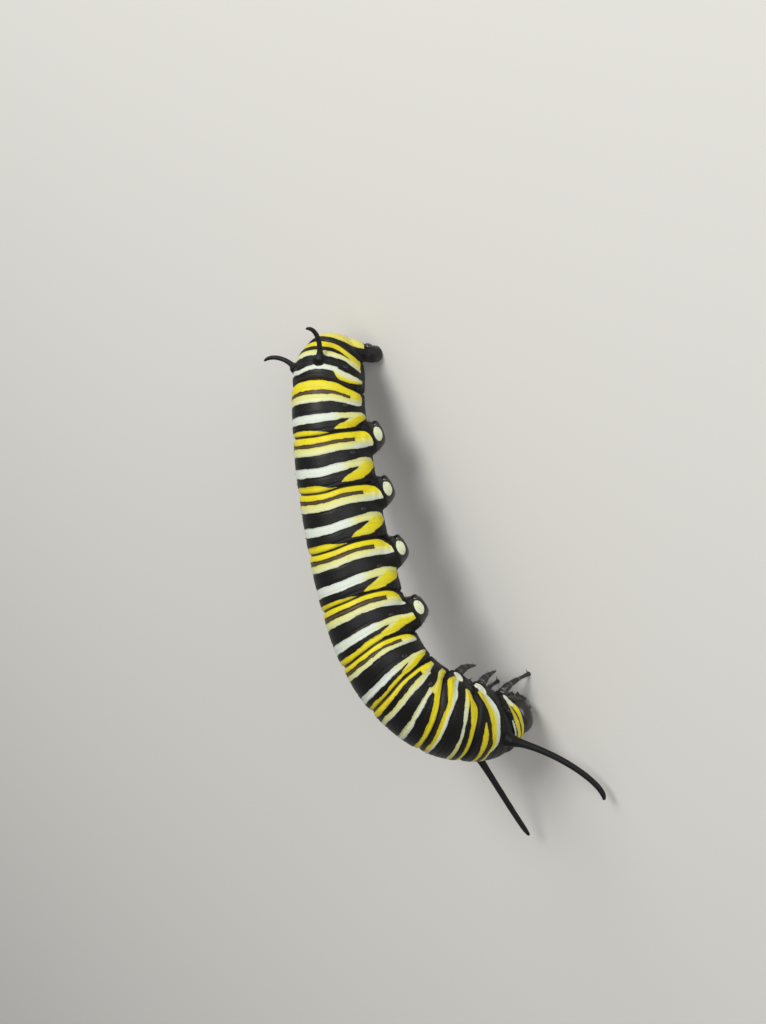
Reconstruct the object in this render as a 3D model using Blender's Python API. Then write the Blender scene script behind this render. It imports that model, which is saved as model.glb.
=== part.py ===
# Monarch larva, life size, standing in an arch on its hindmost prolegs and its first legs.
# The body lies along Y with its head towards -Y, its left side is +X and the floor is at Z = 0.
# Sizes are in millimetres and degrees, and meshes are scaled to metres when they are made.

import math

import bmesh
import bpy
from mathutils import Matrix, Vector

METRES = 0.001

# Lengths of the body from the tail: name, length along the midline, climb towards the head,
# turn towards the larva's left, and radius, the last three at the middle of the length.
BODY = (
    ("abdomen_9_10", 1.5, 44.6, -8, 2.2),
    ("abdomen_8", 3.15, 35.5, -5.8, 3.0),
    ("abdomen_7", 4.25, 22.5, -5, 3.13),
    ("abdomen_6", 4.5, 16.8, -5.4, 3.32),
    ("abdomen_5", 4.6, 14.6, -3.7, 3.41),
    ("abdomen_4", 4.5, 13.7, 0.4, 3.5),
    ("abdomen_3", 3.9, 11.7, 5.3, 3.5),
    ("abdomen_2", 3.3, -1.1, 8.1, 3.45),
    ("abdomen_1", 3.0, -22.4, 8.1, 3.49),
    ("thorax_3", 3.6, -41.5, 6.7, 3.6),
    ("thorax_2", 3.5, -56.5, 4.8, 3.25),
    ("thorax_1", 1.7, -75, 2.9, 2.55),
)
HEAD_CLIMB = -94
NECK_RADIUS = 1.95

GAP = 0.3             # between neighbouring solids
FOLD_DEPTH = 0.05     # share of the radius lost in the fold between two lengths
FOLD_REACH = 0.35     # how far that fold reaches along the body
BELLY_FLATTEN = 0.07  # share of the radius lost under the belly
BODY_SIDES = 24
BODY_RINGS = 6        # rings in one length of body
TAIL_ROUND = 1.9      # length over which the tail rounds off
TAIL_RINGS = (0.04, 0.2, 0.45, 0.7, 0.93)   # shares of the last length where its rings lie
STEP = 0.1            # stride of the midline's integration
SHARP_EDGE = 35       # angle between faces from which an edge is drawn sharp

HEAD_WIDTH = 3.5
HEAD_HEIGHT = 3.5
HEAD_DEPTH = 2.5
HEAD_BACK = 0.96      # of the head behind its widest ring, which the neck takes up
HEAD_POWER = 2.3      # 2 would make the head's section along it an ellipse, more makes it fuller
HEAD_RINGS = 9
HEAD_SIDES = 22
CROWN_GROOVE = 0.14   # depth of the groove between the two lobes of the head
CROWN_REACH = 0.3     # radians from the crown over which that groove fades
FACE_HUB = 10         # angles from straight ahead between which the shell's rings lie
NECK_EDGE = 101
NECK_DEPTH = 0.6      # of the head's back face behind its centre
NECK_HOLD = 1.45      # radius of that face
# Six eyelets on each side lie on an arc: its middle's angle from straight ahead and from the
# crown, its own radius, and where it starts and how far it turns from one eyelet to the next
STEMMA_RADIUS = 0.11
STEMMA_COUNT = 6
STEMMA_TILT = 66
STEMMA_SPREAD = 112
STEMMA_ARC = 15
STEMMA_FIRST = -150
STEMMA_TURN = 42
# Face parts: angles of the root from straight ahead and from the crown, the same for the tip,
# depth of the root, reach of the tip, both radii, and sides
FEELER = (44, 138, 42, 141, 0.25, 0.45, 0.19, 0.09, 8)
JAW = (50, 160, 50, 170, 0.35, 0.3, 0.42, 0.16, 8)
LIP = (30, 180, 38, 180, 0.3, 0.16, 0.42, 0.26, 10)
SPINNERET = (76, 180, 70, 180, 0.35, 0.3, 0.42, 0.16, 10)

BLACK = (0.012, 0.011, 0.012, 1)
YELLOW = (0.72, 0.60, 0.05, 1)
GLOSS_BLACK = (0.008, 0.008, 0.008, 1)


def clear_scene():
    for leftover in list(bpy.data.objects):
        bpy.data.objects.remove(leftover, do_unlink=True)


def make_material(name, colour, roughness):
    material = bpy.data.materials.new(name)
    material.use_nodes = True
    shader = material.node_tree.nodes["Principled BSDF"]
    shader.inputs["Base Color"].default_value = colour
    shader.inputs["Roughness"].default_value = roughness
    shader.inputs["Metallic"].default_value = 0.0
    return material


def catmull(t, knots, values):
    """Smooth curve through values at rising knots, held level beyond both ends."""
    if t <= knots[0]:
        return values[0]
    if t >= knots[-1]:
        return values[-1]
    i = max(k for k in range(len(knots) - 1) if knots[k] <= t)
    width = knots[i + 1] - knots[i]
    before = max(i - 1, 0)
    after = min(i + 2, len(knots) - 1)
    slope_a = (values[i + 1] - values[before]) / (knots[i + 1] - knots[before])
    slope_b = (values[after] - values[i]) / (knots[after] - knots[i])
    u = (t - knots[i]) / width
    return (
        values[i] * (2 * u**3 - 3 * u**2 + 1)
        + values[i + 1] * (3 * u**2 - 2 * u**3)
        + slope_a * width * (u**3 - 2 * u**2 + u)
        + slope_b * width * (u**3 - u**2)
    )


FOLDS = [0.0]
for length_row in BODY:
    FOLDS.append(FOLDS[-1] + length_row[1])
MIDDLES = [(FOLDS[k] + FOLDS[k + 1]) / 2 for k in range(len(BODY))]
HEAD_CENTRE = FOLDS[-1] + 0.55
HEADING_KNOTS = MIDDLES + [HEAD_CENTRE]
CLIMBS = [row[2] for row in BODY] + [HEAD_CLIMB]
TURNS = [row[3] for row in BODY] + [BODY[-1][3]]
RADIUS_KNOTS = MIDDLES + [FOLDS[-1]]
RADII = [row[4] for row in BODY] + [NECK_RADIUS]


def heading(s):
    climb = math.radians(catmull(s, HEADING_KNOTS, CLIMBS))
    turn = math.radians(catmull(s, HEADING_KNOTS, TURNS))
    flat = math.cos(climb)
    return Vector((flat * math.sin(turn), -flat * math.cos(turn), math.sin(climb)))


def walk_midline():
    """Midline points from the tail, each STEP apart, starting at the origin."""
    points = [Vector((0, 0, 0))]
    count = int((HEAD_CENTRE + 3) / STEP)
    for k in range(count):
        points.append(points[-1] + heading((k + 0.5) * STEP) * STEP)
    return points


MIDLINE = walk_midline()
# Puts the feet on the floor, and the middle of the box at the origin
TAIL_PLACE = Vector((-0.477, 22.585, 1.79))


def frame_at(s):
    """Place on the midline with its forward, upward and leftward directions."""
    k = min(max(s / STEP, 0), len(MIDLINE) - 1.001)
    low = int(k)
    place = MIDLINE[low].lerp(MIDLINE[low + 1], k - low) + TAIL_PLACE
    if s < 0:
        place = TAIL_PLACE + heading(0) * s
    forward = heading(s)
    left = Vector((0, 0, 1)).cross(forward).normalized()
    up = forward.cross(left).normalized()
    return place, forward, up, left


def radius_at(s):
    radius = catmull(s, RADIUS_KNOTS, RADII)
    for fold in FOLDS[1:-1]:
        away = abs(s - fold) / FOLD_REACH
        if away < 1:
            radius *= 1 - FOLD_DEPTH * (1 - away) ** 2 * (1 + 2 * away)
    if s < TAIL_ROUND:
        radius *= (1 - (1 - s / TAIL_ROUND) ** 2) ** 0.4
    return radius


def section(theta):
    """Share of the radius at an angle from the middle of the back."""
    under = max(0.0, -math.cos(theta))
    return 1 - BELLY_FLATTEN * under**1.5


def skin_point(s, theta, lift=0.0, shift=0.0):
    """Point on the skin at theta from the back's middle, positive on the left."""
    place, forward, up, left = frame_at(s)
    reach = radius_at(s) * section(theta) + lift
    around = up * math.cos(theta) + left * math.sin(theta)
    return place + forward * shift + around * reach


def skin_ring(s, sides, lift=0.0, shift=0.0):
    return [skin_point(s, math.tau * k / sides, lift, shift) for k in range(sides)]


def mesh_object(name, bm, material=None):
    """Makes an object of a bmesh in millimetres, facing out."""
    bmesh.ops.recalc_face_normals(bm, faces=bm.faces)
    bmesh.ops.scale(bm, vec=(METRES, METRES, METRES), verts=bm.verts)
    mesh = bpy.data.meshes.new(name)
    bm.to_mesh(mesh)
    bm.free()
    thing = bpy.data.objects.new(name, mesh)
    bpy.context.scene.collection.objects.link(thing)
    if material:
        mesh.materials.append(material)
    mesh.shade_smooth()
    mesh.set_sharp_from_angle(angle=math.radians(SHARP_EDGE))
    return thing


def loft(rings):
    """Closed bmesh through rings of equal count, with a fan of triangles at both ends."""
    bm = bmesh.new()
    loops = [[bm.verts.new(point) for point in ring] for ring in rings]
    sides = len(rings[0])
    for low, high in zip(loops, loops[1:]):
        for k in range(sides):
            after = (k + 1) % sides
            bm.faces.new((low[k], low[after], high[after]))
            bm.faces.new((low[k], high[after], high[k]))
    for loop in (loops[0], loops[-1]):
        middle = sum((vert.co for vert in loop), Vector()) / sides
        hub = bm.verts.new(middle)
        for k in range(sides):
            bm.faces.new((loop[k], loop[(k + 1) % sides], hub))
    return bm


def tube_rings(points, radii, sides, last_flat=False):
    """Rings along a path, each square to it; the last two may lie level."""
    rings = []
    side = None
    for k, (point, radius) in enumerate(zip(points, radii)):
        before = points[max(k - 1, 0)]
        after = points[min(k + 1, len(points) - 1)]
        along = (after - before).normalized()
        if last_flat and k >= len(points) - 2:
            along = Vector((0, 0, -1))
        if side is None:
            side = along.orthogonal().normalized()
        side = (side - along * side.dot(along)).normalized()
        other = along.cross(side)
        ring = []
        for j in range(sides):
            angle = math.tau * j / sides
            ring.append(point + (side * math.cos(angle) + other * math.sin(angle)) * radius)
        rings.append(ring)
    return rings


def bezier(a, b, c, d, t):
    u = 1 - t
    return a * u**3 + b * (3 * u * u * t) + c * (3 * u * t * t) + d * t**3


def apply_boolean(target, other, operation):
    """Applies a union with, or a cut by, another object or collection."""
    modifier = target.modifiers.new("cut", "BOOLEAN")
    modifier.operation = operation
    modifier.solver = "EXACT"
    if isinstance(other, bpy.types.Collection):
        modifier.operand_type = "COLLECTION"
        modifier.collection = other
    else:
        modifier.object = other
    bpy.context.view_layer.update()
    depsgraph = bpy.context.evaluated_depsgraph_get()
    result = bpy.data.meshes.new_from_object(target.evaluated_get(depsgraph))
    target.modifiers.remove(modifier)
    old = target.data
    target.data = result
    bpy.data.meshes.remove(old)
    keep_largest(target)


def keep_largest(thing):
    """Leaves only the largest closed surface of an object, in triangles."""
    bm = bmesh.new()
    bm.from_mesh(thing.data)
    bmesh.ops.triangulate(bm, faces=bm.faces)
    bmesh.ops.remove_doubles(bm, verts=bm.verts, dist=2e-6)
    bmesh.ops.dissolve_degenerate(bm, edges=bm.edges, dist=2e-6)
    bmesh.ops.triangulate(bm, faces=bm.faces)
    groups = []
    unseen = set(bm.faces)
    while unseen:
        stack = [unseen.pop()]
        group = set(stack)
        while stack:
            face = stack.pop()
            for edge in face.edges:
                for near in edge.link_faces:
                    if near in unseen:
                        unseen.discard(near)
                        group.add(near)
                        stack.append(near)
        groups.append(group)
    largest = max(groups, key=lambda group: sum(face.calc_area() for face in group))
    spare = [face for face in bm.faces if face not in largest]
    bmesh.ops.delete(bm, geom=spare, context="FACES")
    bm.to_mesh(thing.data)
    bm.free()


def join_pieces(core, pieces):
    """Unions loose pieces into a core and drops them."""
    group = bpy.data.collections.new("pieces")
    bpy.context.scene.collection.children.link(group)
    for piece in pieces:
        bpy.context.scene.collection.objects.unlink(piece)
        group.objects.link(piece)
    apply_boolean(core, group, "UNION")
    for piece in pieces:
        bpy.data.objects.remove(piece, do_unlink=True)
    bpy.data.collections.remove(group)


def make_clearance():
    """One closed body, GAP larger than the larva's, that trims every limb's root."""
    stations = []
    for start, end in zip(FOLDS, FOLDS[1:]):
        for k in range(4):
            stations.append(start + (end - start) * k / 4)
    stations = [s for s in stations if s > 0.2] + [FOLDS[-1]]
    rings = [skin_ring(0.1, BODY_SIDES, GAP, -GAP)]
    rings += [skin_ring(s, BODY_SIDES, GAP) for s in stations]
    body = mesh_object("clearance", loft(rings))
    body.hide_render = True
    body.display_type = "WIRE"
    return body


def make_lengths(material):
    """The segments behind the head, parted by thin cuts at the folds."""
    last = len(BODY) - 1
    for index, row in enumerate(BODY):
        start, end = FOLDS[index], FOLDS[index + 1]
        if index == 0:
            rings = [skin_ring(end * share, BODY_SIDES) for share in TAIL_RINGS]
        else:
            rings = [skin_ring(start, BODY_SIDES, 0, GAP / 2)]
            rings.append(skin_ring(start + FOLD_REACH, BODY_SIDES))
        if index > 0:
            inner_start, inner_end = start + FOLD_REACH, end - FOLD_REACH
            if index == last:
                inner_end = end - 0.3
            for k in range(1, BODY_RINGS - 2):
                share = k / (BODY_RINGS - 2)
                rings.append(skin_ring(inner_start + (inner_end - inner_start) * share, BODY_SIDES))
            rings.append(skin_ring(inner_end, BODY_SIDES))
        rings.append(skin_ring(end, BODY_SIDES, 0, -GAP / 2))
        mesh_object(row[0], loft(rings), material)


LEG_SPREAD = 152        # angle of a true leg's root from the middle of the back
LEG_SIDES = 8
LEG_RADII = (0.62, 0.56, 0.44, 0.47, 0.35, 0.37, 0.27, 0.14)
LEG_SINK = 0.9          # depth of a leg's root before the trim
LEG_KNEE = 0.7          # of a leg's knee from the skin
# Hind two pairs of true legs: name, body length, place along it, and the tip's reach down, back and out
TRUE_LEGS = (
    ("leg_t3", "thorax_3", 0.4, 1.9, -0.2, 0.3),
    ("leg_t2", "thorax_2", 0.25, 1.9, 0.3, 0.3),
)
FRONT_LEG_PLACE = 0.2
FRONT_FOOT_SPREAD = 2.1     # of the first pair's feet from the midline
FRONT_FOOT_BACK = 0.3       # from the root to the foot
FRONT_PAD = 0.2             # radius of the flat under that foot
FRONT_KNEE = 0.6            # of that leg's knee from the skin

PROLEG_SPREAD = 131
PROLEG_SIDES = 14
PROLEG_SINK = 1.0           # depth of a proleg's root before the trim
# A proleg's aim, as its share outward from the skin, down from the body and towards the tail
PROLEG_AIM = (0.75, 0.55, 0.3)
# Name, body length, place along it, and reach from the skin to the sole
PROLEGS = (
    ("proleg_a6", "abdomen_6", 0.08, 1.2),
    ("proleg_a5", "abdomen_5", 0.13, 1.2),
    ("proleg_a4", "abdomen_4", 0.28, 1.25),
    ("proleg_a3", "abdomen_3", 0.62, 1.5),
)
# Share of the whole stump and radius there
PROLEG_SHAPE = ((0.0, 1.55), (0.3, 1.5), (0.52, 1.38), (0.7, 1.2), (0.82, 1.06), (0.92, 0.9), (1.0, 0.7))

ANAL_PLACE = 0.75           # share of the last length, from its end
ANAL_SPREAD = 124
ANAL_FOOT_SPREAD = 1.75
ANAL_FOOT_AHEAD = 0.7
ANAL_RADII = (1.05, 1.0, 0.88, 0.76, 0.8, 0.7)
ANAL_SIDES = 14
ANAL_SINK = 0.9             # depth of the root before the trim
ANAL_KNEE = 0.2             # of the bend from the skin
ANAL_ANKLE = 0.9            # height above the floor at which the leg turns straight down

TENTACLE_SIDES = 10
TENTACLE_SINK = 0.8
FRONT_THICK = (0.48, 0.34, 0.29, 0.28, 0.27, 0.27, 0.26, 0.26, 0.25, 0.25, 0.24, 0.22, 0.15)
REAR_THICK = (0.38, 0.28, 0.25, 0.24, 0.23, 0.22, 0.21, 0.2, 0.18, 0.12)
# Handles of each curve as distances left, back and up from the tentacle's root
FRONT_LEFT = ((2.1, -2.5, -2.6), (3.6, -6.7, -4.4), (3.2, -7.8, -4.1))
FRONT_RIGHT = ((-0.6, -4.4, -1.2), (-2.4, -8.2, -3.0), (-2.7, -10.1, -3.7))
REAR_LEFT = ((0.8, 1.1, -0.3), (1.1, 2.4, -0.2), (0.8, 2.6, 0.5))
REAR_RIGHT = ((-0.4, 0.8, -0.2), (-1.3, 1.9, 0.4), (-2.1, 1.7, 0.9))
# Name, body length, place along it, angle from the middle of the back, radii and handles
TENTACLES = (
    ("front_tentacle_l", "thorax_2", 0.84, 54, FRONT_THICK, FRONT_LEFT),
    ("front_tentacle_r", "thorax_2", 0.84, -54, FRONT_THICK, FRONT_RIGHT),
    ("rear_tentacle_l", "abdomen_8", 0.56, 36, REAR_THICK, REAR_LEFT),
    ("rear_tentacle_r", "abdomen_8", 0.56, -36, REAR_THICK, REAR_RIGHT),
)


def side_name(side):
    return "l" if side > 0 else "r"


def place_on(length_name, share):
    """Distance along the midline of a share of a named length, from its tail end."""
    index = [row[0] for row in BODY].index(length_name)
    return FOLDS[index] + (FOLDS[index + 1] - FOLDS[index]) * share


def make_limb(name, rings, material, clearance):
    limb = mesh_object(name, loft(rings), material)
    apply_boolean(limb, clearance, "DIFFERENCE")
    return limb


def make_true_legs(material, clearance):
    """Three pairs of jointed legs; the first pair stands on the floor."""
    for side in (1, -1):
        theta = math.radians(LEG_SPREAD) * side
        for prefix, length_name, share, down, back, out in TRUE_LEGS:
            s = place_on(length_name, share)
            tip = skin_point(s, theta) + Vector((out * side, back, -down))
            path = leg_path(skin_point(s, theta, -LEG_SINK), skin_point(s, theta, LEG_KNEE), tip)
            rings = tube_rings(path, LEG_RADII, LEG_SIDES)
            make_limb(f"{prefix}_{side_name(side)}", rings, material, clearance)
        s = place_on("thorax_1", FRONT_LEG_PLACE)
        foot = frame_at(s)[0] + Vector((FRONT_FOOT_SPREAD * side, 0, 0))
        foot.y = skin_point(s, theta).y + FRONT_FOOT_BACK
        foot.z = 0
        path = leg_path(skin_point(s, theta, -LEG_SINK), skin_point(s, theta, FRONT_KNEE), foot)
        rings = tube_rings(path, LEG_RADII[:-1] + (FRONT_PAD,), LEG_SIDES, True)
        make_limb(f"leg_t1_{side_name(side)}", rings, material, clearance)


def leg_path(root, knee, tip):
    return [bezier(root, root.lerp(knee, 0.9), knee.lerp(tip, 0.35), tip, k / 7) for k in range(8)]


def make_prolegs(material, clearance):
    """Four pairs of blunt stumps, held clear of the floor by the arch."""
    for prefix, length_name, share, reach in PROLEGS:
        s = place_on(length_name, share)
        place, forward, up, left = frame_at(s)
        out, down, back = PROLEG_AIM
        for side in (1, -1):
            theta = math.radians(PROLEG_SPREAD) * side
            root = skin_point(s, theta)
            outward = (root - place).normalized()
            aim = (outward * out - up * down - forward * back).normalized()
            start = root - aim * PROLEG_SINK
            length = PROLEG_SINK + reach
            points = [start + aim * length * part for part, radius in PROLEG_SHAPE]
            radii = [radius for part, radius in PROLEG_SHAPE]
            rings = tube_rings(points, radii, PROLEG_SIDES)
            make_limb(f"{prefix}_{side_name(side)}", rings, material, clearance)


def make_anal_prolegs(material, clearance):
    """The hindmost pair, whose flat soles stand on the floor."""
    s = place_on("abdomen_9_10", ANAL_PLACE)
    for side in (1, -1):
        theta = math.radians(ANAL_SPREAD) * side
        root = skin_point(s, theta, -ANAL_SINK)
        knee = skin_point(s, theta, ANAL_KNEE)
        foot = frame_at(s)[0] + Vector((ANAL_FOOT_SPREAD * side, 0, 0))
        foot.y = skin_point(s, theta).y - ANAL_FOOT_AHEAD
        foot.z = 0
        count = len(ANAL_RADII) - 1
        ankle = foot + Vector((0, 0, ANAL_ANKLE))
        points = [bezier(root, root.lerp(knee, 0.8), ankle, foot, k / count) for k in range(count + 1)]
        rings = tube_rings(points, ANAL_RADII, ANAL_SIDES, True)
        make_limb(f"anal_proleg_{side_name(side)}", rings, material, clearance)


def make_tentacles(material, clearance):
    """Two long fleshy feelers behind the head and two shorter ones near the tail."""
    for name, length_name, share, spread, thick, handles in TENTACLES:
        s = place_on(length_name, share)
        root = skin_point(s, math.radians(spread))
        inside = skin_point(s, math.radians(spread), -TENTACLE_SINK)
        curve = [root + Vector(handle) for handle in handles]
        count = len(thick) - 1
        points = [inside] + [bezier(root, *curve, k / count) for k in range(count + 1)]
        rings = tube_rings(points, (thick[0],) + thick, TENTACLE_SIDES)
        make_limb(name, rings, material, clearance)


def head_frame():
    place, forward, up, left = frame_at(FOLDS[-1])
    return place + forward * (GAP / 2 + NECK_DEPTH), forward, up, left


def head_point(ahead_angle, theta, lift=0.0):
    """Point on the head at an angle from straight ahead, and around from the crown."""
    centre, forward, up, left = head_frame()
    ahead, around = math.cos(ahead_angle), math.sin(ahead_angle)
    depth = HEAD_DEPTH / 2 if ahead > 0 else HEAD_BACK
    across = math.hypot(math.cos(theta) * HEAD_WIDTH / 2, math.sin(theta) * HEAD_HEIGHT / 2)
    reach = ((abs(ahead) / depth) ** HEAD_POWER + (around / across) ** HEAD_POWER) ** (-1 / HEAD_POWER)
    crown = math.exp(-((math.remainder(theta, math.tau) / CROWN_REACH) ** 2)) * around
    reach += lift - CROWN_GROOVE * crown
    return centre + (forward * ahead + (up * math.cos(theta) + left * math.sin(theta)) * around) * reach


def cone_between(a, b, radius_a, radius_b, sides=8):
    middle = a.lerp(b, 0.55)
    radii = (radius_a, radius_a * 0.55 + radius_b * 0.45 + 0.03, radius_b)
    return mesh_object("piece", loft(tube_rings([a, middle, b], radii, sides)))


def bead(place, radius):
    bm = bmesh.new()
    bmesh.ops.create_icosphere(bm, subdivisions=1, radius=radius, matrix=Matrix.Translation(place))
    return mesh_object("piece", bm)


def head_cone(face_part, side):
    """A short tapered piece of the face, from inside the shell to its tip."""
    tilt, turn, tip_tilt, tip_turn, sink, reach, root_radius, tip_radius, sides = face_part
    root = head_point(math.radians(tilt), math.radians(turn) * side, -sink)
    tip = head_point(math.radians(tip_tilt), math.radians(tip_turn) * side, reach)
    return cone_between(root, tip, root_radius, tip_radius, sides)


def make_head(material):
    """Hard round head with its eyelets, feelers, lip, jaws and spinneret."""
    centre, forward, up, left = head_frame()
    rings = []
    for k in range(HEAD_RINGS):
        angle = math.radians(FACE_HUB + (NECK_EDGE - FACE_HUB) * k / (HEAD_RINGS - 1))
        rings.append([head_point(angle, math.tau * j / HEAD_SIDES) for j in range(HEAD_SIDES)])
    back = centre - forward * NECK_DEPTH
    turns = [math.tau * j / HEAD_SIDES for j in range(HEAD_SIDES)]
    rings.append([back + (up * math.cos(a) + left * math.sin(a)) * NECK_HOLD for a in turns])
    head = mesh_object("head", loft(rings), material)
    pieces = []
    for side in (1, -1):
        for k in range(STEMMA_COUNT):
            around = math.radians(STEMMA_FIRST + STEMMA_TURN * k)
            tilt = STEMMA_TILT + STEMMA_ARC * math.cos(around)
            turn = STEMMA_SPREAD + STEMMA_ARC * math.sin(around)
            place = head_point(math.radians(tilt), math.radians(turn) * side, -0.02)
            pieces.append(bead(place, STEMMA_RADIUS))
        pieces.append(head_cone(FEELER, side))
        pieces.append(head_cone(JAW, side))
    pieces.append(head_cone(LIP, 1))
    pieces.append(head_cone(SPINNERET, 1))
    join_pieces(head, pieces)


def main():
    clear_scene()
    banded = make_material("banded_skin", YELLOW, 0.45)
    dark = make_material("dark_limb", BLACK, 0.35)
    glossy = make_material("head_shell", GLOSS_BLACK, 0.2)
    make_lengths(banded)
    clearance = make_clearance()
    make_true_legs(glossy, clearance)
    make_prolegs(dark, clearance)
    make_anal_prolegs(dark, clearance)
    make_tentacles(dark, clearance)
    make_head(glossy)
    bpy.data.objects.remove(clearance, do_unlink=True)


main()
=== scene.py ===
# Looks of the life-size monarch larva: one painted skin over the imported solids, a hard head,
# jointed legs, gripping hooks and fine hairs. Built in millimetres and scaled when meshes are made.

import math
import time

import bpy
import numpy as np
from mathutils import Matrix, Vector


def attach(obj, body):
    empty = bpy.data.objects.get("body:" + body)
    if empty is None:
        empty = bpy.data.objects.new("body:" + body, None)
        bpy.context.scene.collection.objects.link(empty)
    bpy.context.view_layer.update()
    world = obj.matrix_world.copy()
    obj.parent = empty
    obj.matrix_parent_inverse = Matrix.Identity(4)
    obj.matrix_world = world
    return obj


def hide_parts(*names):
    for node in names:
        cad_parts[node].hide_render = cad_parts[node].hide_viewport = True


started = time.time()
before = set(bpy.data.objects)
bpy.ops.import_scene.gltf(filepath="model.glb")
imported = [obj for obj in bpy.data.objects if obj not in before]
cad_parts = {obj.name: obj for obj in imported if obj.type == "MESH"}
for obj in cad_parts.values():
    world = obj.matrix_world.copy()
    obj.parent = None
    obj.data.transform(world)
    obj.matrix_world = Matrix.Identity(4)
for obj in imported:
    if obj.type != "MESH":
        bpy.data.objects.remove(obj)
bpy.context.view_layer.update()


def say(text):
    print(f"stage {time.time() - started:6.1f} s  {text}", flush=True)


say("frame loaded")
mm = 0.001
slantwise = np.array((0.31, 0.87, 0.38))   # a direction that lies along none of the parts
farOff = 9.0   # stands for nowhere near, in millimetres

# The body's curve, the same as the solids': name, length, climb, turn and radius at its middle
bodyRows = (
    ("abdomen_9_10", 1.5, 44.6, -8, 2.2),
    ("abdomen_8", 3.15, 35.5, -5.8, 3.0),
    ("abdomen_7", 4.25, 22.5, -5, 3.13),
    ("abdomen_6", 4.5, 16.8, -5.4, 3.32),
    ("abdomen_5", 4.6, 14.6, -3.7, 3.41),
    ("abdomen_4", 4.5, 13.7, 0.4, 3.5),
    ("abdomen_3", 3.9, 11.7, 5.3, 3.5),
    ("abdomen_2", 3.3, -1.1, 8.1, 3.45),
    ("abdomen_1", 3.0, -22.4, 8.1, 3.49),
    ("thorax_3", 3.6, -41.5, 6.7, 3.6),
    ("thorax_2", 3.5, -56.5, 4.8, 3.25),
    ("thorax_1", 1.7, -75, 2.9, 2.55),
)
curve = dict(
    headClimb=-94,
    neckRadius=1.95,
    bellyFlatten=0.07,
    tailRound=1.9,
    neckRound=0.36,
    neckShrink=0.5,
    tailPower=0.4,
    bellyPower=1.5,
    stride=0.1,
    headAhead=0.55,   # how far past the last fold the head's own climb is reached
    pastNeck=3.55,   # how far the midline runs on into the head
    tailPlace=np.array((-0.477, 22.585, 1.79)),
)
segmentNames = [row[0] for row in bodyRows]
folds = np.concatenate([[0.0], np.cumsum([row[1] for row in bodyRows])])
middles = (folds[:-1] + folds[1:]) / 2
headingKnots = np.append(middles, folds[-1] + curve["headAhead"])
bodyClimbs = [row[2] for row in bodyRows] + [curve["headClimb"]]
bodyTurns = [row[3] for row in bodyRows] + [bodyRows[-1][3]]
radiusKnots = np.append(middles, folds[-1])
bodyRadii = [row[4] for row in bodyRows] + [curve["neckRadius"]]


def smoothCurve(t, knots, values):
    # Smooth line through values at rising knots, level beyond both ends
    knots, values = np.asarray(knots, float), np.asarray(values, float)
    t = np.clip(t, knots[0], knots[-1])
    i = np.clip(np.searchsorted(knots, t, side="right") - 1, 0, len(knots) - 2)
    before, after = np.maximum(i - 1, 0), np.minimum(i + 2, len(knots) - 1)
    width = knots[i + 1] - knots[i]
    slopeA = (values[i + 1] - values[before]) / (knots[i + 1] - knots[before])
    slopeB = (values[after] - values[i]) / (knots[after] - knots[i])
    u = (t - knots[i]) / width
    return (
        values[i] * (2 * u**3 - 3 * u**2 + 1)
        + values[i + 1] * (3 * u**2 - 2 * u**3)
        + slopeA * width * (u**3 - 2 * u**2 + u)
        + slopeB * width * (u**3 - u**2)
    )


def smoothStep(value, low, high):
    u = np.clip((value - low) / (high - low), 0, 1)
    return u * u * (3 - 2 * u)


def bell(value, width):
    return np.exp(-((value / width) ** 2))


def unit(vectors):
    return vectors / np.linalg.norm(vectors, axis=-1, keepdims=True)


def heading(s):
    climb = np.radians(smoothCurve(s, headingKnots, bodyClimbs))
    turn = np.radians(smoothCurve(s, headingKnots, bodyTurns))
    return np.stack([np.cos(climb) * np.sin(turn), -np.cos(climb) * np.cos(turn), np.sin(climb)], -1)


strideCount = int((folds[-1] + curve["pastNeck"]) / curve["stride"])
strides = heading((np.arange(strideCount) + 0.5) * curve["stride"]) * curve["stride"]
midline = curve["tailPlace"] + np.concatenate([np.zeros((1, 3)), np.cumsum(strides, 0)])
midlineS = np.arange(strideCount + 1) * curve["stride"]


def bodyFrame(s):
    # Place on the midline, and its forward, upward and leftward directions
    s = np.asarray(s, float)
    place = np.stack([np.interp(s, midlineS, midline[:, k]) for k in range(3)], -1)
    forward = heading(s)
    left = unit(np.cross((0.0, 0.0, 1.0), forward))
    up = unit(np.cross(forward, left))
    return place, forward, up, left


def radiusAt(s):
    radius = smoothCurve(s, radiusKnots, bodyRadii)
    tail = np.clip(s / curve["tailRound"], 0, 1)
    neck = np.clip((s - folds[-1]) / curve["neckRound"], 0, 1)
    roundTail = (1 - (1 - tail) ** 2) ** curve["tailPower"]
    return radius * roundTail * np.sqrt(1 - curve["neckShrink"] * neck**2)


def section(theta):
    return 1 - curve["bellyFlatten"] * np.maximum(0, -np.cos(theta)) ** curve["bellyPower"]


def skinPoint(s, theta, lift=0.0):
    place, forward, up, left = bodyFrame(s)
    theta = np.asarray(theta, float)
    around = up * np.cos(theta)[..., None] + left * np.sin(theta)[..., None]
    reach = radiusAt(s) * section(theta) + lift
    return place + around * np.asarray(reach)[..., None]


def placeOn(name, share):
    k = segmentNames.index(name)
    return folds[k] + (folds[k + 1] - folds[k]) * share


def bezier(a, b, c, d, t):
    t = np.asarray(t, float)[:, None]
    u = 1 - t
    return a * u**3 + 3 * b * u * u * t + 3 * c * u * t * t + d * t**3


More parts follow.
